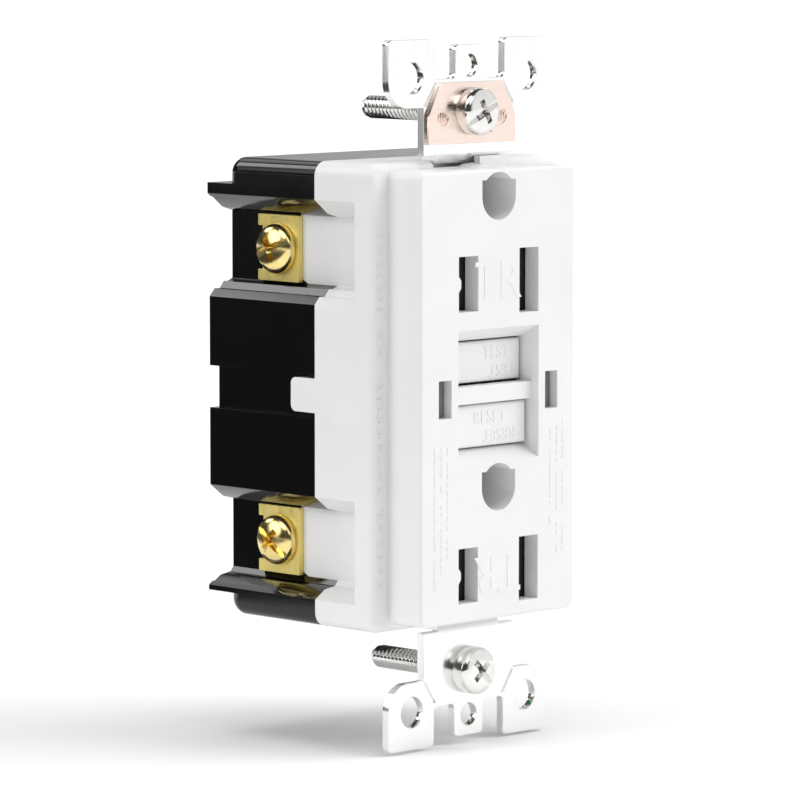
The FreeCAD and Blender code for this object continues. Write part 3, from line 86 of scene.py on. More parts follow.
CAMERA_AZIMUTH = math.radians(-45.0)
CAMERA_ELEVATION = math.radians(5.86)
CAMERA_DISTANCE = 741.4 * MM
CAMERA_AIM = Vector((-7.70, 7.55, -1.08)) * MM
CAMERA_NEAREST = 10 * MM
LENS = 225.2


def toward(azimuth, elevation):
    """The direction from the outlet to a viewer; azimuth 0 is straight in front of its face."""
    level = math.cos(elevation)
    return Vector((math.sin(azimuth) * level, -math.cos(azimuth) * level, math.sin(elevation)))


def look_from(thing, back):
    """Turn a camera or a lamp so that it looks against the direction back."""
    thing.rotation_mode = "QUATERNION"
    thing.rotation_quaternion = (-back).to_track_quat("-Z", "Y")


def make_camera():
    data = bpy.data.cameras.new("camera")
    data.lens = LENS
    data.clip_start = CAMERA_NEAREST
    camera = linked("camera", data)
    back = toward(CAMERA_AZIMUTH, CAMERA_ELEVATION)
    camera.location = CAMERA_AIM + back * CAMERA_DISTANCE
    look_from(camera, back)
    bpy.context.scene.camera = camera


# ---- materials ----


class Shading:
    """A node material under construction, with object coordinates in metres and a Principled shader."""

    def __init__(self, name, roughness, metallic=0.0):
        self.material = bpy.data.materials.new(name)
        self.material.use_nodes = True
        self.tree = self.material.node_tree
        self.shader = self.tree.nodes["Principled BSDF"]
        self.shader.inputs["Metallic"].default_value = metallic
        self.shader.inputs["Roughness"].default_value = roughness
        self.coordinates = self.tree.nodes.new("ShaderNodeTexCoord").outputs["Object"]

    def node(self, kind, links=(), **settings):
        """A new node. A setting goes to the input of its name, or else to the node's own property."""
        made = self.tree.nodes.new(kind)
        for key, value in settings.items():
            if key in made.inputs.keys():
                made.inputs[key].default_value = value
            else:
                setattr(made, key, value)
        for key, source in links:
            self.tree.links.new(source, made.inputs[key])
        return made

    def stretched(self, scale):
        mapping = self.node("ShaderNodeMapping", [("Vector", self.coordinates)], Scale=scale)
        return mapping.outputs["Vector"]

    def noise(self, size, detail=3.0, stretch=(1, 1, 1), roughness=0.55):
        """Noise with features of a size in metres, drawn out along axes by the inverse of stretch."""
        made = self.node("ShaderNodeTexNoise", [("Vector", self.stretched(stretch))],
                         Scale=1 / size, Detail=detail, Roughness=roughness)
        return made.outputs["Fac"]

    def ramp(self, factor, low, high, start=0.35, end=0.65):
        """The factor's range from start to end, spread over low to high."""
        made = self.node("ShaderNodeMapRange", [("Value", factor)])
        for key, value in (("From Min", start), ("From Max", end), ("To Min", low), ("To Max", high)):
            made.inputs[key].default_value = value
        return made.outputs["Result"]

    def mix(self, factor, low, high):
        """A blend of two colours, each given as a colour or a socket: the node's inputs 6 and 7."""
        made = self.node("ShaderNodeMix", [("Factor", factor)], data_type="RGBA")
        for socket, value in ((made.inputs[6], low), (made.inputs[7], high)):
            if isinstance(value, bpy.types.NodeSocket):
                self.tree.links.new(value, socket)
            else:
                socket.default_value = (*value, 1.0)
        return made.outputs[2]

    def paint(self, colour):
        self.tree.links.new(colour, self.shader.inputs["Base Color"])

    def rough(self, factor):
        self.tree.links.new(factor, self.shader.inputs["Roughness"])

    def bump(self, height, depth):
        made = self.node("ShaderNodeBump", [("Height", height)], Distance=depth)
        self.tree.links.new(made.outputs["Normal"], self.shader.inputs["Normal"])


def shade(colour, factor):
    return tuple(channel * factor for channel in colour)


def moulded(name, colour, roughness, grain=0.35 * MM, depth=0.004 * MM, variation=0.035):
    """Injection-moulded plastic: faint flow mottling, a spark-eroded grain and uneven gloss."""
    made = Shading(name, roughness)
    made.paint(made.mix(made.ramp(made.noise(12 * MM), 0, 1), shade(colour, 1 - variation), colour))
    made.rough(made.ramp(made.noise(4 * MM, 4), roughness * 0.85, roughness * 1.15))
    made.bump(made.noise(grain, 2), depth)
    made.shader.inputs["IOR"].default_value = 1.5
    return made.material


def plated(name, colour, roughness, brushed=(1, 1, 1), wear=0.85):
    """Plated metal: cloudy brightness over fine lines, which brushed draws out along one axis."""
    made = Shading(name, roughness, metallic=1.0)
    clouds = made.ramp(made.noise(6 * MM, 4), 0, 1, 0.3, 0.7)
    made.paint(made.mix(clouds, shade(colour, wear), colour))
    lines = made.noise(0.6 * MM, 3, brushed, 0.7)
    made.rough(made.ramp(lines, roughness * 0.7, roughness * 1.35))
    made.bump(lines, 0.002 * MM)
    return made.material


def laminate(name, mask, copper):
    """A circuit board: solder mask over faintly raised square-cornered tracks."""
    made = Shading(name, 0.32)
    brick = made.node("ShaderNodeTexBrick", [("Vector", made.stretched((1, 0, 1)))], Scale=260.0)
    brick.inputs["Mortar Size"].default_value = 0.06
    tracks = made.mix(brick.outputs["Fac"], mask, copper)
    made.paint(made.mix(made.ramp(made.noise(3 * MM), 0, 1), tracks, mask))
    made.bump(brick.outputs["Fac"], 0.03 * MM)
    return made.material


def banded(name, base, bands, period):
    """A painted resistor with colour bands along its length."""
    made = Shading(name, 0.35)
    wave = made.node("ShaderNodeTexWave", [("Vector", made.coordinates)], Scale=1 / period)
    made.paint(made.mix(made.ramp(wave.outputs["Fac"], 0, 1, 0.75, 0.8), base, bands))
    made.bump(made.noise(0.4 * MM), 0.01 * MM)
    return made.material


WHITE = (0.86, 0.862, 0.862)
# which way the drawing lines of a plated sheet run
UP = (1, 1, 0.06)
ALONG_X = (0.06, 1, 1)

MATERIALS = {
    "white_plastic": moulded("white_plastic", WHITE, 0.36),
    "button_plastic": moulded("button_plastic", WHITE, 0.34),
    "black_plastic": moulded("black_plastic", (0.0015, 0.0015, 0.002), 0.11, 0.6 * MM, 0.002 * MM, 0.3),
    "strap_steel": plated("strap_steel", (0.95, 0.95, 0.945), 0.17, UP, wear=0.96),
    "zinc_steel": plated("zinc_steel", (0.72, 0.73, 0.74), 0.3, UP),
    "nickel_steel": plated("nickel_steel", (0.92, 0.91, 0.89), 0.11, wear=0.82),
    "spring_steel": plated("spring_steel", (0.60, 0.60, 0.61), 0.25),
    "copper_alloy": plated("copper_alloy", (0.96, 0.80, 0.72), 0.22, ALONG_X, wear=0.93),
    "terminal_brass": plated("terminal_brass", (0.98, 0.82, 0.30), 0.5, UP, wear=0.88),
    "screw_brass": plated("screw_brass", (1.0, 0.80, 0.34), 0.17, wear=0.78),
    "terminal_silver": plated("terminal_silver", (0.80, 0.80, 0.78), 0.24, UP, wear=0.85),
    "screw_silver": plated("screw_silver", (0.84, 0.83, 0.81), 0.12, wear=0.72),
    "green_steel": plated("green_steel", (0.06, 0.36, 0.13), 0.22, wear=0.75),
    "contact_brass": plated("contact_brass", (0.78, 0.58, 0.28), 0.28, UP),
    "shutter_plastic": moulded("shutter_plastic", (0.03, 0.03, 0.03), 0.5),
    "tray_plastic": moulded("tray_plastic", (0.36, 0.36, 0.34), 0.5, variation=0.1),
    "carriage_plastic": moulded("carriage_plastic", (0.05, 0.05, 0.055), 0.45, variation=0.1),
    "retainer_fibre": moulded("retainer_fibre", (0.42, 0.30, 0.16), 0.7, 0.2 * MM, 0.02 * MM, 0.2),
    "board_laminate": laminate("board_laminate", (0.012, 0.09, 0.035), (0.03, 0.19, 0.06)),
    "chip_epoxy": moulded("chip_epoxy", (0.015, 0.015, 0.016), 0.55, 0.1 * MM, 0.008 * MM),
    "varistor_epoxy": moulded("varistor_epoxy", (0.02, 0.07, 0.30), 0.25, 1.2 * MM, 0.03 * MM),
    "capacitor_sleeve": moulded("capacitor_sleeve", (0.02, 0.02, 0.03), 0.3),
    "resistor_paint": banded("resistor_paint", (0.50, 0.36, 0.20), (0.12, 0.02, 0.01), 1.6 * MM),
    "ferrite": moulded("ferrite", (0.035, 0.035, 0.038), 0.6, 0.3 * MM, 0.012 * MM, 0.3),
    "magnet_wire": plated("magnet_wire", (0.62, 0.26, 0.10), 0.25, wear=0.75),
}
# a light guide's smoky grey, darkened further as painted shade standing in for a deeper window
LENS_AND_PAINTED_SHADE = moulded("lens_and_painted_shade", (0.17, 0.17, 0.17), 0.25, 1 * MM, 0.003 * MM)
LABEL_FOIL = moulded("label_foil", (0.55, 0.56, 0.56), 0.35, 0.8 * MM, 0.004 * MM)


def dress_nodes():
    for name, thing in nodes.items():
        for slot in thing.material_slots:
            slot.material = MATERIALS[slot_of[name]]


# ---- making pieces ----


def add_piece(name, mesh, body, slot, material=None, smooth_angle=40):
    """A new object that rides on a body and takes its finish from one of the record's slots."""
    piece = linked(name, mesh)
    mesh.materials.clear()
    mesh.materials.append(material or MATERIALS[slot])
    mesh.shade_smooth()
    mesh.set_sharp_from_angle(angle=math.radians(smooth_angle))
    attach(piece, body)
    return piece


def mesh_of(form, name):
    """The form as a mesh. The form itself is freed."""
    mesh = bpy.data.meshes.new(name)
    form.to_mesh(mesh)
    form.free()
    return mesh


def finished(form, name):
    bmesh.ops.recalc_face_normals(form, faces=form.faces)
    return mesh_of(form, name)


def ease_edges(form, edges, width):
    bmesh.ops.bevel(form, geom=edges, offset=width, offset_type="OFFSET", segments=2, profile=0.5,
                    affect="EDGES", clamp_overlap=True)


def ring_of(form, centre, across, up, radius, count):
    """A ring of vertices about a centre, in the plane of two directions."""
    return [form.verts.new(centre + (across * math.cos(turn) + up * math.sin(turn)) * radius)
            for turn in (math.tau * index / count for index in range(count))]


def level_ring(form, radius, height, count):
    return ring_of(form, Vector((0, 0, height)), Vector((1, 0, 0)), Vector((0, 1, 0)), radius, count)


def bridge(form, first, second):
    count = len(first)
    for index in range(count):
        after = (index + 1) % count
        form.faces.new((first[index], first[after], second[after], second[index]))


def skin(form, rings):
    """Join each ring to the next and close both ends with a face."""
    for first, second in zip(rings, rings[1:]):
        bridge(form, first, second)
    form.faces.new(rings[0])
    form.faces.new(reversed(rings[-1]))


def turned(outline, count, name):
    """An outline of (radius, height) points revolved about Z, with flat ends."""
    form = bmesh.new()
    skin(form, [level_ring(form, radius, height, count) for radius, height in outline])
    return finished(form, name)


def main_axis(axis):
    """The number of the axis that a direction follows."""
    return max(range(3), key=lambda index: abs(axis[index]))


def placed(mesh, origin, axis):
    """Stand a mesh made about Z at a point, along an axis."""
    turn = Vector((0, 0, 1)).rotation_difference(Vector(axis)).to_matrix().to_4x4()
    mesh.transform(Matrix.Translation(origin) @ turn)
    return mesh


def evaluated_mesh(thing):
    """The mesh that an object's modifiers or its curve give. The object itself is removed."""
    bpy.context.view_layer.update()
    mesh = bpy.data.meshes.new_from_object(thing.evaluated_get(bpy.context.evaluated_depsgraph_get()))
    bpy.data.objects.remove(thing)
    return mesh


def carved(mesh, cutter):
    """The mesh less the cutter, by an exact boolean."""
    base = linked("carving", mesh)
    tool = linked("cutter", cutter)
    modifier = base.modifiers.new("cut", "BOOLEAN")
    modifier.object = tool
    modifier.operation = "DIFFERENCE"
    modifier.solver = "EXACT"
    result = evaluated_mesh(base)
    bpy.data.objects.remove(tool)
    return result


def merged(meshes, name):
    form = bmesh.new()
    for mesh in meshes:
        form.from_mesh(mesh)
    return mesh_of(form, name)


# ---- the outer nodes, with their edges broken ----

# the width of each node's broken edges, in millimetres
SOFTENED = {
    "front_cover": 0.12, "back_cover": 0.15, "mounting_strap": 0.1, "self_ground_clip": 0.06,
    "test_button": 0.12, "reset_button": 0.12, "ground_clamp": 0.12,
    "upper_screw_retainer": 0.06, "lower_screw_retainer": 0.06,
    "line_hot_terminal": 0.08, "line_neutral_terminal": 0.08,
    "load_hot_terminal": 0.08, "load_neutral_terminal": 0.08,
}
SAME_POINT = 0.001 * MM
FLAT = math.radians(0.5)
SHARP = math.radians(38)


def soften(node, width):
    """A node's own shape with its sharp edges broken by a small radius, in the node's place."""
    form = bmesh.new()
    form.from_mesh(nodes[node].data)
    bmesh.ops.remove_doubles(form, verts=form.verts, dist=SAME_POINT)
    bmesh.ops.dissolve_limit(form, angle_limit=FLAT, verts=form.verts, edges=form.edges)
    sharp = [edge for edge in form.edges if len(edge.link_faces) == 2 and edge.calc_face_angle(0) > SHARP]
    ease_edges(form, sharp, width)
    piece = add_piece(f"{node}_finish", finished(form, node), body_of[node], slot_of[node], smooth_angle=50)
    normals = piece.modifiers.new("normals", "WEIGHTED_NORMAL")
    normals.keep_sharp = True
    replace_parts(piece, node)


def soften_nodes():
    for node, width in SOFTENED.items():
        soften(node, width * MM)


# ---- screws ----

THREAD_PITCH = 25.4 / 32 * MM
THREAD_DEPTH = 0.36 * MM
THREAD_ROWS = 8
THREAD_SIDES = 32
CREST_SLOPE = 1.25
SHANK_RADIUS = 1.75 * MM
CORE_RADIUS = 1.42 * MM
TIP_LENGTH = 0.9 * MM
TIP_SHARE = 0.66
HEAD_SIDES = 64
DOME_STEPS = 14
DOME_END = math.radians(85)
CUT_SPARE = 0.4 * MM

BOX_SCREW_HEAD = {"radius": 3.55 * MM, "high": 2.9 * MM, "dome": 1.5 * MM, "square": 2.9}
TERMINAL_SCREW_HEAD = {"radius": 3.8 * MM, "high": 2.3 * MM, "dome": 1.85 * MM, "square": 2.2}
# each box screw's plain neck, in millimetres, and the turn of its recess, in radians
BOX_SCREWS = {"upper_mounting_screw": (5.6, 0.5), "lower_mounting_screw": (5.0, 2.3)}
TERMINAL_NECK = 0.6 * MM
# each terminal screw's side of the outlet, and the turn of its recess
TERMINAL_SCREWS = {
    "line_hot_screw": (-1, 1.95), "line_neutral_screw": (1, 0.15),
    "load_hot_screw": (-1, 0.9), "load_neutral_screw": (1, 2.6),
}
# a recess's blades: half length, half width and depth in head radii, the share of its size that a blade
# keeps at its foot, and its turn
RECESS_BLADES = (
    (1.3, 0.13, 0.26, 1.0, 0.0),
    (0.62, 0.15, 0.5, 0.35, 0.0),
    (0.62, 0.15, 0.5, 0.35, math.pi / 2),
)


def blade(half_length, half_width, top, depth, taper, turn):
    """A cutter for a driver recess: wide at its top and narrowing with depth."""
    form = bmesh.new()
    rings = [[form.verts.new((x * half_length * share, y * half_width * (0.5 + 0.5 * share), level))
              for x, y in ((-1, -1), (1, -1), (1, 1), (-1, 1))]
             for level, share in ((top, 1.0), (top - depth, taper))]
    skin(form, rings)
    mesh = finished(form, "recess")
    mesh.transform(Matrix.Rotation(turn, 4, "Z"))
    return mesh


def dome_outline(radius, high, dome, square):
    """A pan head's outline from its seat up over its dome; a higher square makes the dome flatter on top."""
    points = [(radius * 0.96, 0.0), (radius, radius * 0.05)]
    for step in range(DOME_STEPS + 1):
        angle = DOME_END * step / DOME_STEPS
        across = math.cos(angle) ** (2 / square)
        rise = math.sin(angle) ** (2 / square)
        points.append((radius * across, high - dome + dome * rise))
    return points


def screw_head(radius, high, dome, square, angle):
    """A pan head with a slot right across it and a Phillips cross."""
    mesh = turned(dome_outline(radius, high, dome, square), HEAD_SIDES, "head")
    for half_length, half_width, depth, taper, turn in RECESS_BLADES:
        cutter = blade(radius * half_length, radius * half_width, high + CUT_SPARE,
                       radius * depth + CUT_SPARE, taper, angle + turn)
        mesh = carved(mesh, cutter)
    return mesh


def thread(start, end):
    """A threaded shank that runs down from start to end, with a run-out at its top and a chamfered tip."""
    form = bmesh.new()
    rows = math.ceil((start - end) / THREAD_PITCH * THREAD_ROWS)
    rings = []
    for row in range(rows + 1):
        height = start + (end - start) * row / rows
        chamfer = TIP_SHARE + (1 - TIP_SHARE) * min(1.0, (height - end) / TIP_LENGTH)
        run_out = min(1.0, (start - height) / THREAD_PITCH)
        ring = []
        for side in range(THREAD_SIDES):
            turn = side / THREAD_SIDES
            phase = (height / THREAD_PITCH - turn) % 1.0
            crest = min(1.0, CREST_SLOPE * abs(2 * phase - 1))
            reach = (SHANK_RADIUS - THREAD_DEPTH * (1 - crest * run_out)) * chamfer
            angle = math.tau * turn
            ring.append(form.verts.new((reach * math.cos(angle), reach * math.sin(angle), height)))
        rings.append(ring)
    skin(form, rings)
    return finished(form, "thread")


def make_screw(node, axis, head, neck, angle):
    """A detailed screw in place of a plain one: its head's top lies outward along the axis."""
    low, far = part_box(node)
    line = main_axis(axis)
    outward = far[line] if axis[line] > 0 else low[line]
    seat = (low + far) / 2
    seat[line] = outward - axis[line] * head["high"]
    length = (far - low)[line] - head["high"]
    core = turned([(CORE_RADIUS, -neck - 0.3 * MM), (CORE_RADIUS, 0.1 * MM)], THREAD_SIDES, "neck")
    mesh = merged([screw_head(angle=angle, **head), thread(-neck, -length), core], node)
    piece = add_piece(f"{node}_detail", placed(mesh, seat, axis), body_of[node], slot_of[node])
    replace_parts(piece, node)


def make_screws():
    for node, (neck, angle) in BOX_SCREWS.items():
        make_screw(node, (0, -1, 0), BOX_SCREW_HEAD, neck * MM, angle)
    for node, (side, angle) in TERMINAL_SCREWS.items():
        make_screw(node, (side, 0, 0), TERMINAL_SCREW_HEAD, TERMINAL_NECK, angle)


def make_ground_screw():
    """The green hexagon-head screw with its washer face and slot."""
    low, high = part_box("ground_screw")
    centre = (low + high) / 2
    head = 2.4 * MM
    washer = 0.7 * MM
    rim = 4.0 * MM
    corner = 3.85 * MM
    flange = turned([(rim - 0.15 * MM, 0), (rim, 0.12 * MM), (rim, washer - 0.15 * MM),
                     (rim - 0.4 * MM, washer)], HEAD_SIDES, "flange")
    hexagon = turned([(corner, washer - 0.2 * MM), (corner, head - 0.35 * MM),
                      (corner - 0.45 * MM, head)], 6, "hexagon")
    slot = blade(6 * MM, 0.5 * MM, head + 0.3 * MM, 1.2 * MM, 1.0, 0.7)
    shank = thread(0.1 * MM, -(high.x - low.x - head))
    mesh = merged([flange, carved(hexagon, slot), shank], "ground_screw")
    placed(mesh, Vector((high.x - head, centre.y, centre.z)), (1, 0, 0))
    piece = add_piece("ground_screw_detail", mesh, body_of["ground_screw"], "green_steel")
    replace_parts(piece, "ground_screw")


# ---- springs and the coil ----

WIRE_SIDES = 8
TURN_STEPS = 20
END_CLOSING = 1.6


def helix(name, start, axis, length, radius, wire, turns):
    """A coil spring whose turns lie closer together towards its ends."""
    axis = Vector(axis)
    across = axis.orthogonal().normalized()
    up = axis.cross(across)
    form = bmesh.new()
    count = turns * TURN_STEPS
    rings = []
    for step in range(count + 1):
        share = step / count
        turn = math.tau * turns * share
        wound = share - math.sin(math.tau * share) / (math.tau * END_CLOSING)
        along = wire + (length - 2 * wire) * wound
        outward = across * math.cos(turn) + up * math.sin(turn)
        centre = Vector(start) + axis * along + outward * radius
        rings.append(ring_of(form, centre, outward, axis, wire, WIRE_SIDES))
    skin(form, rings)
    return finished(form, name)


def make_spring(node, axis, wire, turns, fixed_high=True):
    """A wound spring in place of its envelope."""
    low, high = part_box(node)
    line = main_axis(axis)
    length = (high - low)[line]
    radius = (high - low)[(line + 1) % 3] / 2
    start = (low + high) / 2
    start[line] = low[line]
    mesh = helix(node, start, axis, length, radius - wire, wire, turns)
    piece = add_piece(f"{node}_coils", mesh, "root", slot_of[node])
    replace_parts(piece, node)
    anchor = start.copy()
    anchor[line] = high[line] if fixed_high else low[line]
    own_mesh(piece)


def make_carriage_springs():
    """The two springs of the contact carriage, which are one node."""
    low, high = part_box("carriage_springs")
    length = high.y - low.y
    outer = (high.z - low.z) / 2
    wire = 0.15 * MM
    coils = [helix("carriage_spring", (x, low.y, (low.z + high.z) / 2), (0, 1, 0), length,
                   outer - wire, wire, 6) for x in (low.x + outer, high.x - outer)]
    piece = add_piece("carriage_springs_coils", merged(coils, "carriage_springs"), "root", "spring_steel")
    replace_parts(piece, "carriage_springs")
    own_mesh(piece)


def make_springs():
    make_spring("test_spring", (0, 1, 0), 0.25 * MM, 6)
    make_spring("reset_spring", (0, 1, 0), 0.3 * MM, 5)
    for end in ("upper", "lower"):
        make_spring(f"{end}_shutter_spring", (1, 0, 0), 0.12 * MM, 9)
    make_spring("plunger_spring", (0, 0, 1), 0.18 * MM, 5, fixed_high=False)
    make_carriage_springs()


def make_winding():
    """The solenoid's turns of magnet wire, as one ridged sleeve round the bobbin."""
    low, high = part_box("solenoid_coil")
    outer = (high.x - low.x) / 2
    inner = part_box("solenoid_bobbin")[1].x * 0.45
    wire = 0.22 * MM
    turns = int((high.z - low.z) / (2 * wire))
    pitch = (high.z - low.z) / turns
    outline = [(inner, 0.0)]
    for turn in range(turns):
        for quarter in range(5):
            bulge = wire * math.sin(math.pi * quarter / 4)
            outline.append((outer - wire + bulge, pitch * (turn + quarter / 4)))
    outline.append((inner, high.z - low.z))
    form = bmesh.new()
    rings = [level_ring(form, radius, height, 40) for radius, height in outline]
    for first, second in zip(rings, rings[1:] + rings[:1]):
        bridge(form, first, second)
    mesh = finished(form, "winding")
    mesh.transform(Matrix.Translation(((low.x + high.x) / 2, (low.y + high.y) / 2, low.z)))
    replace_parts(add_piece("solenoid_winding", mesh, "root", "magnet_wire"), "solenoid_coil")


# ---- raised marks and small mouldings: sizes here are in millimetres ----

SUNK = 0.2
PRINT_PROUD = 0.07
# each column of small print on the face: its left edge, its width, and its upper and lower ends
FACE_COLUMNS = (
    (-13.6, 0.55, -7.0, -27.5), (-12.2, 0.45, -7.0, -25.5), (-10.9, 0.45, -7.0, -23.5),
    (11.0, 0.45, -6.0, -20.5), (12.4, 0.5, -4.5, -24.0), (13.7, 0.45, -4.5, -24.5),
)
SHOULDER_FRONT = 0.63
SHOULDER_PROUD = 0.12
# the height of the middle of each pair of blade slots
SLOT_LEVELS = {"upper": 16.7, "lower": -26.35}
# each word on a button: the button, its text, its place across and up, and whether it is turned over
BUTTON_WORDS = (
    ("test_button", "TEST", 2.9, 5.85, False), ("test_button", "TEST", 4.2, 3.3, True),
    ("reset_button", "RESET", 0.3, -3.5, False), ("reset_button", "RESET", 2.4, -6.1, True),
)
CAPS_TO_FONT_SIZE = 1.37
BACK_FACE = 35.1
LABEL_RECESS = 0.35
LABEL_THICK = 0.15


def slab(form, low, high):
    """A box from corner to corner."""
    corners = [form.verts.new(Vector((x, y, z)) * MM) for x in (low[0], high[0]) for y in (low[1], high[1])
               for z in (low[2], high[2])]
    for face in ((0, 1, 3, 2), (4, 6, 7, 5), (0, 4, 5, 1), (2, 3, 7, 6), (0, 2, 6, 4), (1, 5, 7, 3)):
        form.faces.new([corners[index] for index in face])


def raised(name, boxes, slot, edge, material=None):
    """Low raised bars on the outlet's body, each a box from corner to corner, with eased edges."""
    form = bmesh.new()
    for low, high in boxes:
        slab(form, low, high)
    ease_edges(form, form.edges, edge * MM)
    add_piece(name, finished(form, name), "root", slot, material)


def word(name, text, centre, cap_height, proud, turned_over, body, slot):
    """A raised function word on a front face, upright or turned over for a device fitted upside down."""
    curve = bpy.data.curves.new(name, "FONT")
    curve.body = text
    curve.size = cap_height * CAPS_TO_FONT_SIZE * MM
    curve.extrude = proud * MM
    curve.align_x = "CENTER"
    curve.align_y = "CENTER"
    curve.resolution_u = 3
    mesh = evaluated_mesh(linked(name, curve))
    upright = Matrix.Rotation(math.radians(90), 4, "X")
    spin = Matrix.Rotation(math.pi if turned_over else 0.0, 4, "Z")
    mesh.transform(Matrix.Translation(Vector(centre) * MM) @ upright @ spin)
    add_piece(name, mesh, body, slot, smooth_angle=30)


def dashes(skipped, first, last, along, gap, seed):
    """Dashes of uneven length down from first to last, less a share of them, in place of small print."""
    chance = random.Random(seed)
    level = first
    runs = []
    while level > last:
        length = along * chance.uniform(0.55, 1.5)
        if chance.random() > skipped:
            runs.append((level - length, level))
        level -= length + gap
    return runs


def front_of(node):
    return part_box(node)[0].y / MM


def make_face_marks():
    face = front_of("front_cover")
    bars = []
    for seed, (x, width, first, last) in enumerate(FACE_COLUMNS):
        for low, high in dashes(0.15, first, last, 0.8, 0.35, seed):
            bars.append(((x, face - PRINT_PROUD, low), (x + width, face + SUNK, high)))
    raised("face_marks", bars, "white_plastic", 0.03)
    for end, turned_over in (("upper", False), ("lower", True)):
        word(f"{end}_tamper_mark", "TR", (-0.2, face, SLOT_LEVELS[end]), 6.0, PRINT_PROUD, turned_over,
             "root", "white_plastic")


def make_shoulder_marks():
    """Two rows of dashes with a bar across each pair, in place of the print on the left shoulder."""
    front = SHOULDER_FRONT - SHOULDER_PROUD
    rear = SHOULDER_FRONT + SUNK
    bars = []
    for low, high in dashes(0.12, 24.5, -28.0, 1.1, 0.75, 11):
        for x in (-18.75, -17.75):
            bars.append(((x, front, low), (x + 0.35, rear, high)))
        middle = (low + high) / 2
        bars.append(((-18.6, front, middle - 0.15), (-17.6, rear, middle + 0.15)))
    raised("shoulder_marks", bars, "white_plastic", 0.04)


def make_button_words():
    for button, text, x, z, turned_over in BUTTON_WORDS:
        name = f"{button}_word_{'lower' if turned_over else 'upper'}"
        word(name, text, (x, front_of(button), z), 1.9, 0.1, turned_over, body_of[button], "button_plastic")


def make_lenses_and_painted_shade():
    """A smoky light guide on the floor of each side window; its dark grey is partly painted shade, standing
    in for the depth of a deeper window.
    """
    for side, low_x, high_x in (("left", -12.5, -10.08), ("right", 10.08, 12.5)):
        lens = ((low_x, -4.7, -2.67), (high_x, -4.28, 2.67))
        # the lens's dark grey is partly painted shade for a deeper window
        raised(f"{side}_indicator_lens", [lens], "white_plastic", 0.15, LENS_AND_PAINTED_SHADE)


def make_slot_bumps():
    """The small bump on the outer wall of each hot slot."""
    wall = -8.46
    profile = [(0.5, -1.5), (-0.25, -1.15), (-0.7, -0.55), (-0.7, 0.55), (-0.25, 1.15), (0.5, 1.5)]
    for end, level in SLOT_LEVELS.items():
        form = bmesh.new()
        rings = [[form.verts.new(Vector((wall - reach, y, level + rise)) * MM) for reach, rise in profile]
                 for y in (-5.9, -3.45)]
        skin(form, rings)
        add_piece(f"{end}_slot_bump", finished(form, "bump"), "root", "white_plastic")


def make_clip_hatching():
    """Upright ridges in the two dimples of the grounding clip."""
    front = front_of("self_ground_clip")
    level = 40.8
    bars = []
    for dimple in (-6.15, 6.15):
        for shift, reach in ((-0.72, 0.6), (-0.24, 0.85), (0.24, 0.85), (0.72, 0.6)):
            bars.append(((dimple + shift - 0.12, front + 0.02, level - reach),
                         (dimple + shift + 0.12, front + 0.3, level + reach)))
    raised("clip_hatching", bars, "copper_alloy", 0.08)


def make_label():
    """A blank foil label in the recess on the back."""
    floor = BACK_FACE - LABEL_RECESS
    label = ((-8.6, floor, -11.6), (8.6, floor + LABEL_THICK, 9.6))
    raised("blank_label", [label], "black_plastic", 0.05, LABEL_FOIL)


# ---- floor and light ----

FLOOR_REACH = 14.0
FLOOR_SIDES = 96
STAGE_GAP = 0.5 * MM
CLOTH_NEAR = 0.16
CLOTH_FAR = 2.2
CLOTH_FRONT = -0.6
CLOTH_BACK = 0.95

# the softboxes that shiny surfaces mirror: azimuth, elevation, and inner and outer radius, all in degrees,
# then strength
SOFTBOXES = (
    (45, 12, 34, 60, 0.92),
    (-75, 52, 14, 24, 2.6),
    (-118, 24, 14, 26, 2.4),
    (-160, 33, 9, 13, 4.5),
    (165, 43, 8, 16, 1.3),
    (-20, 40, 10, 22, 1.6),
    (110, 20, 20, 40, 0.8),
)
# the lamps: azimuth, elevation and breadth in degrees, then strength
SUNS = {"key": (45, 35, 50, 0.5), "fill": (-112, 25, 40, 0.32), "top": (0, 89, 40, 0.36)}
ROOM = 0.05
AMBIENT = 0.42


def flat_card(name, material, corners, height):
    """A flat sheet on the floor, from its corners in plan."""
    form = bmesh.new()
    form.faces.new([form.verts.new((x, y, height)) for x, y in corners])
    mesh = mesh_of(form, name)
    mesh.materials.append(material)
    linked(name, mesh)


def sheet(name, low, high):
    """A matt grey material, a little uneven between two brightnesses."""
    made = Shading(name, 0.9)
    made.paint(made.mix(made.ramp(made.noise(0.4), 0, 1), (low, low, low), (high, high, high)))
    return made.material


def make_stage():
    """A pale floor, with a dark cloth on it beyond the left edge of the picture."""
    level = cad_box[0].z - STAGE_GAP
    floor = [(FLOOR_REACH * math.cos(turn), FLOOR_REACH * math.sin(turn))
             for turn in (math.tau * index / FLOOR_SIDES for index in range(FLOOR_SIDES))]
    flat_card("floor", sheet("paper", 0.93, 0.95), floor, level)
    along = Vector((-math.sin(CAMERA_AZIMUTH), math.cos(CAMERA_AZIMUTH)))
    left = Vector((-along.y, along.x))
    cloth = [CAMERA_AIM.xy + left * across + along * depth
             for across, depth in ((CLOTH_NEAR, CLOTH_FRONT), (CLOTH_FAR, CLOTH_FRONT),
                                   (CLOTH_FAR, CLOTH_BACK), (CLOTH_NEAR, CLOTH_BACK))]
    flat_card("cloth", sheet("cloth", 0.008, 0.012), cloth, level + STAGE_GAP)


def wide_sun(name, azimuth, elevation, breadth, strength):
    """A broad, even light from one direction, seen in no reflection."""
    data = bpy.data.lights.new(name, "SUN")
    data.angle = math.radians(breadth)
    data.energy = strength * math.pi
    lamp = linked(name, data)
    look_from(lamp, toward(math.radians(azimuth), math.radians(elevation)))
    lamp.visible_glossy = False


def combined(tree, kind, first, second):
    """Two numbers or sockets put together by a Math node."""
    made = tree.nodes.new("ShaderNodeMath")
    made.operation = kind
    for socket, value in zip(made.inputs, (first, second)):
        if isinstance(value, bpy.types.NodeSocket):
            tree.links.new(value, socket)
        else:
            socket.default_value = value
    return made.outputs["Value"]


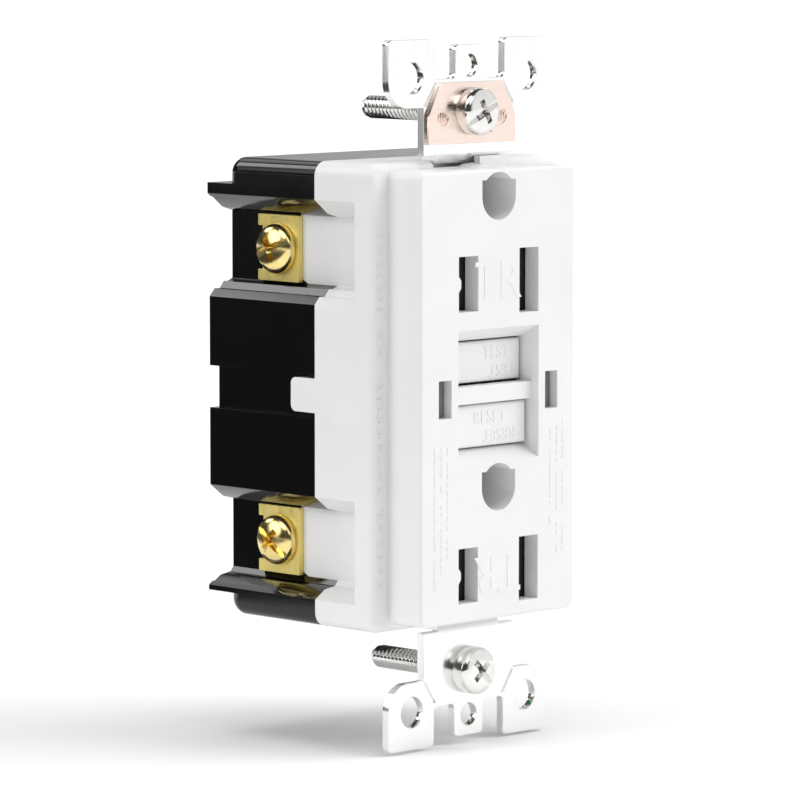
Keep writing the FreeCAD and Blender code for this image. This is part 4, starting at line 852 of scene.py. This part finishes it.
def softbox(tree, direction, azimuth, elevation, inner, outer, strength):
    """The brightness of one round light in the sky: full within inner, none beyond outer."""
    dot = tree.nodes.new("ShaderNodeVectorMath")
    dot.operation = "DOT_PRODUCT"
    tree.links.new(direction, dot.inputs[0])
    dot.inputs[1].default_value = toward(math.radians(azimuth), math.radians(elevation))
    edge = tree.nodes.new("ShaderNodeMapRange")
    edge.interpolation_type = "SMOOTHSTEP"
    limits = (math.cos(math.radians(outer)), math.cos(math.radians(inner)), 0.0, strength)
    for key, value in zip(("From Min", "From Max", "To Min", "To Max"), limits):
        edge.inputs[key].default_value = value
    tree.links.new(dot.outputs["Value"], edge.inputs["Value"])
    return edge.outputs["Result"]


def make_studio():
    """A pale room for matt surfaces, with softboxes in the dark for shiny ones."""
    world = bpy.data.worlds.new("studio")
    bpy.context.scene.world = world
    world.use_nodes = True
    tree = world.node_tree
    background = tree.nodes["Background"]
    background.inputs["Color"].default_value = (1.0, 1.0, 1.0, 1.0)
    direction = tree.nodes.new("ShaderNodeTexCoord").outputs["Generated"]
    mirrored = ROOM
    for box in SOFTBOXES:
        mirrored = combined(tree, "MAXIMUM", softbox(tree, direction, *box), mirrored)
    path = tree.nodes.new("ShaderNodeLightPath").outputs
    glossy = combined(tree, "MULTIPLY", path["Is Glossy Ray"], mirrored)
    other = combined(tree, "SUBTRACT", 1.0, path["Is Glossy Ray"])
    plain = combined(tree, "MULTIPLY", other, AMBIENT)
    seen = combined(tree, "MULTIPLY", path["Is Camera Ray"], 1.0 - AMBIENT)
    total = combined(tree, "ADD", combined(tree, "ADD", glossy, plain), seen)
    tree.links.new(total, background.inputs["Strength"])
    for name, sun in SUNS.items():
        wide_sun(name, *sun)
    bpy.context.scene.view_settings.view_transform = "Standard"


make_camera()
dress_nodes()
soften_nodes()
make_screws()
make_ground_screw()
make_springs()
make_winding()
make_face_marks()
make_shoulder_marks()
make_button_words()
make_lenses_and_painted_shade()
make_slot_bumps()
make_clip_hatching()
make_label()
make_stage()
make_studio()
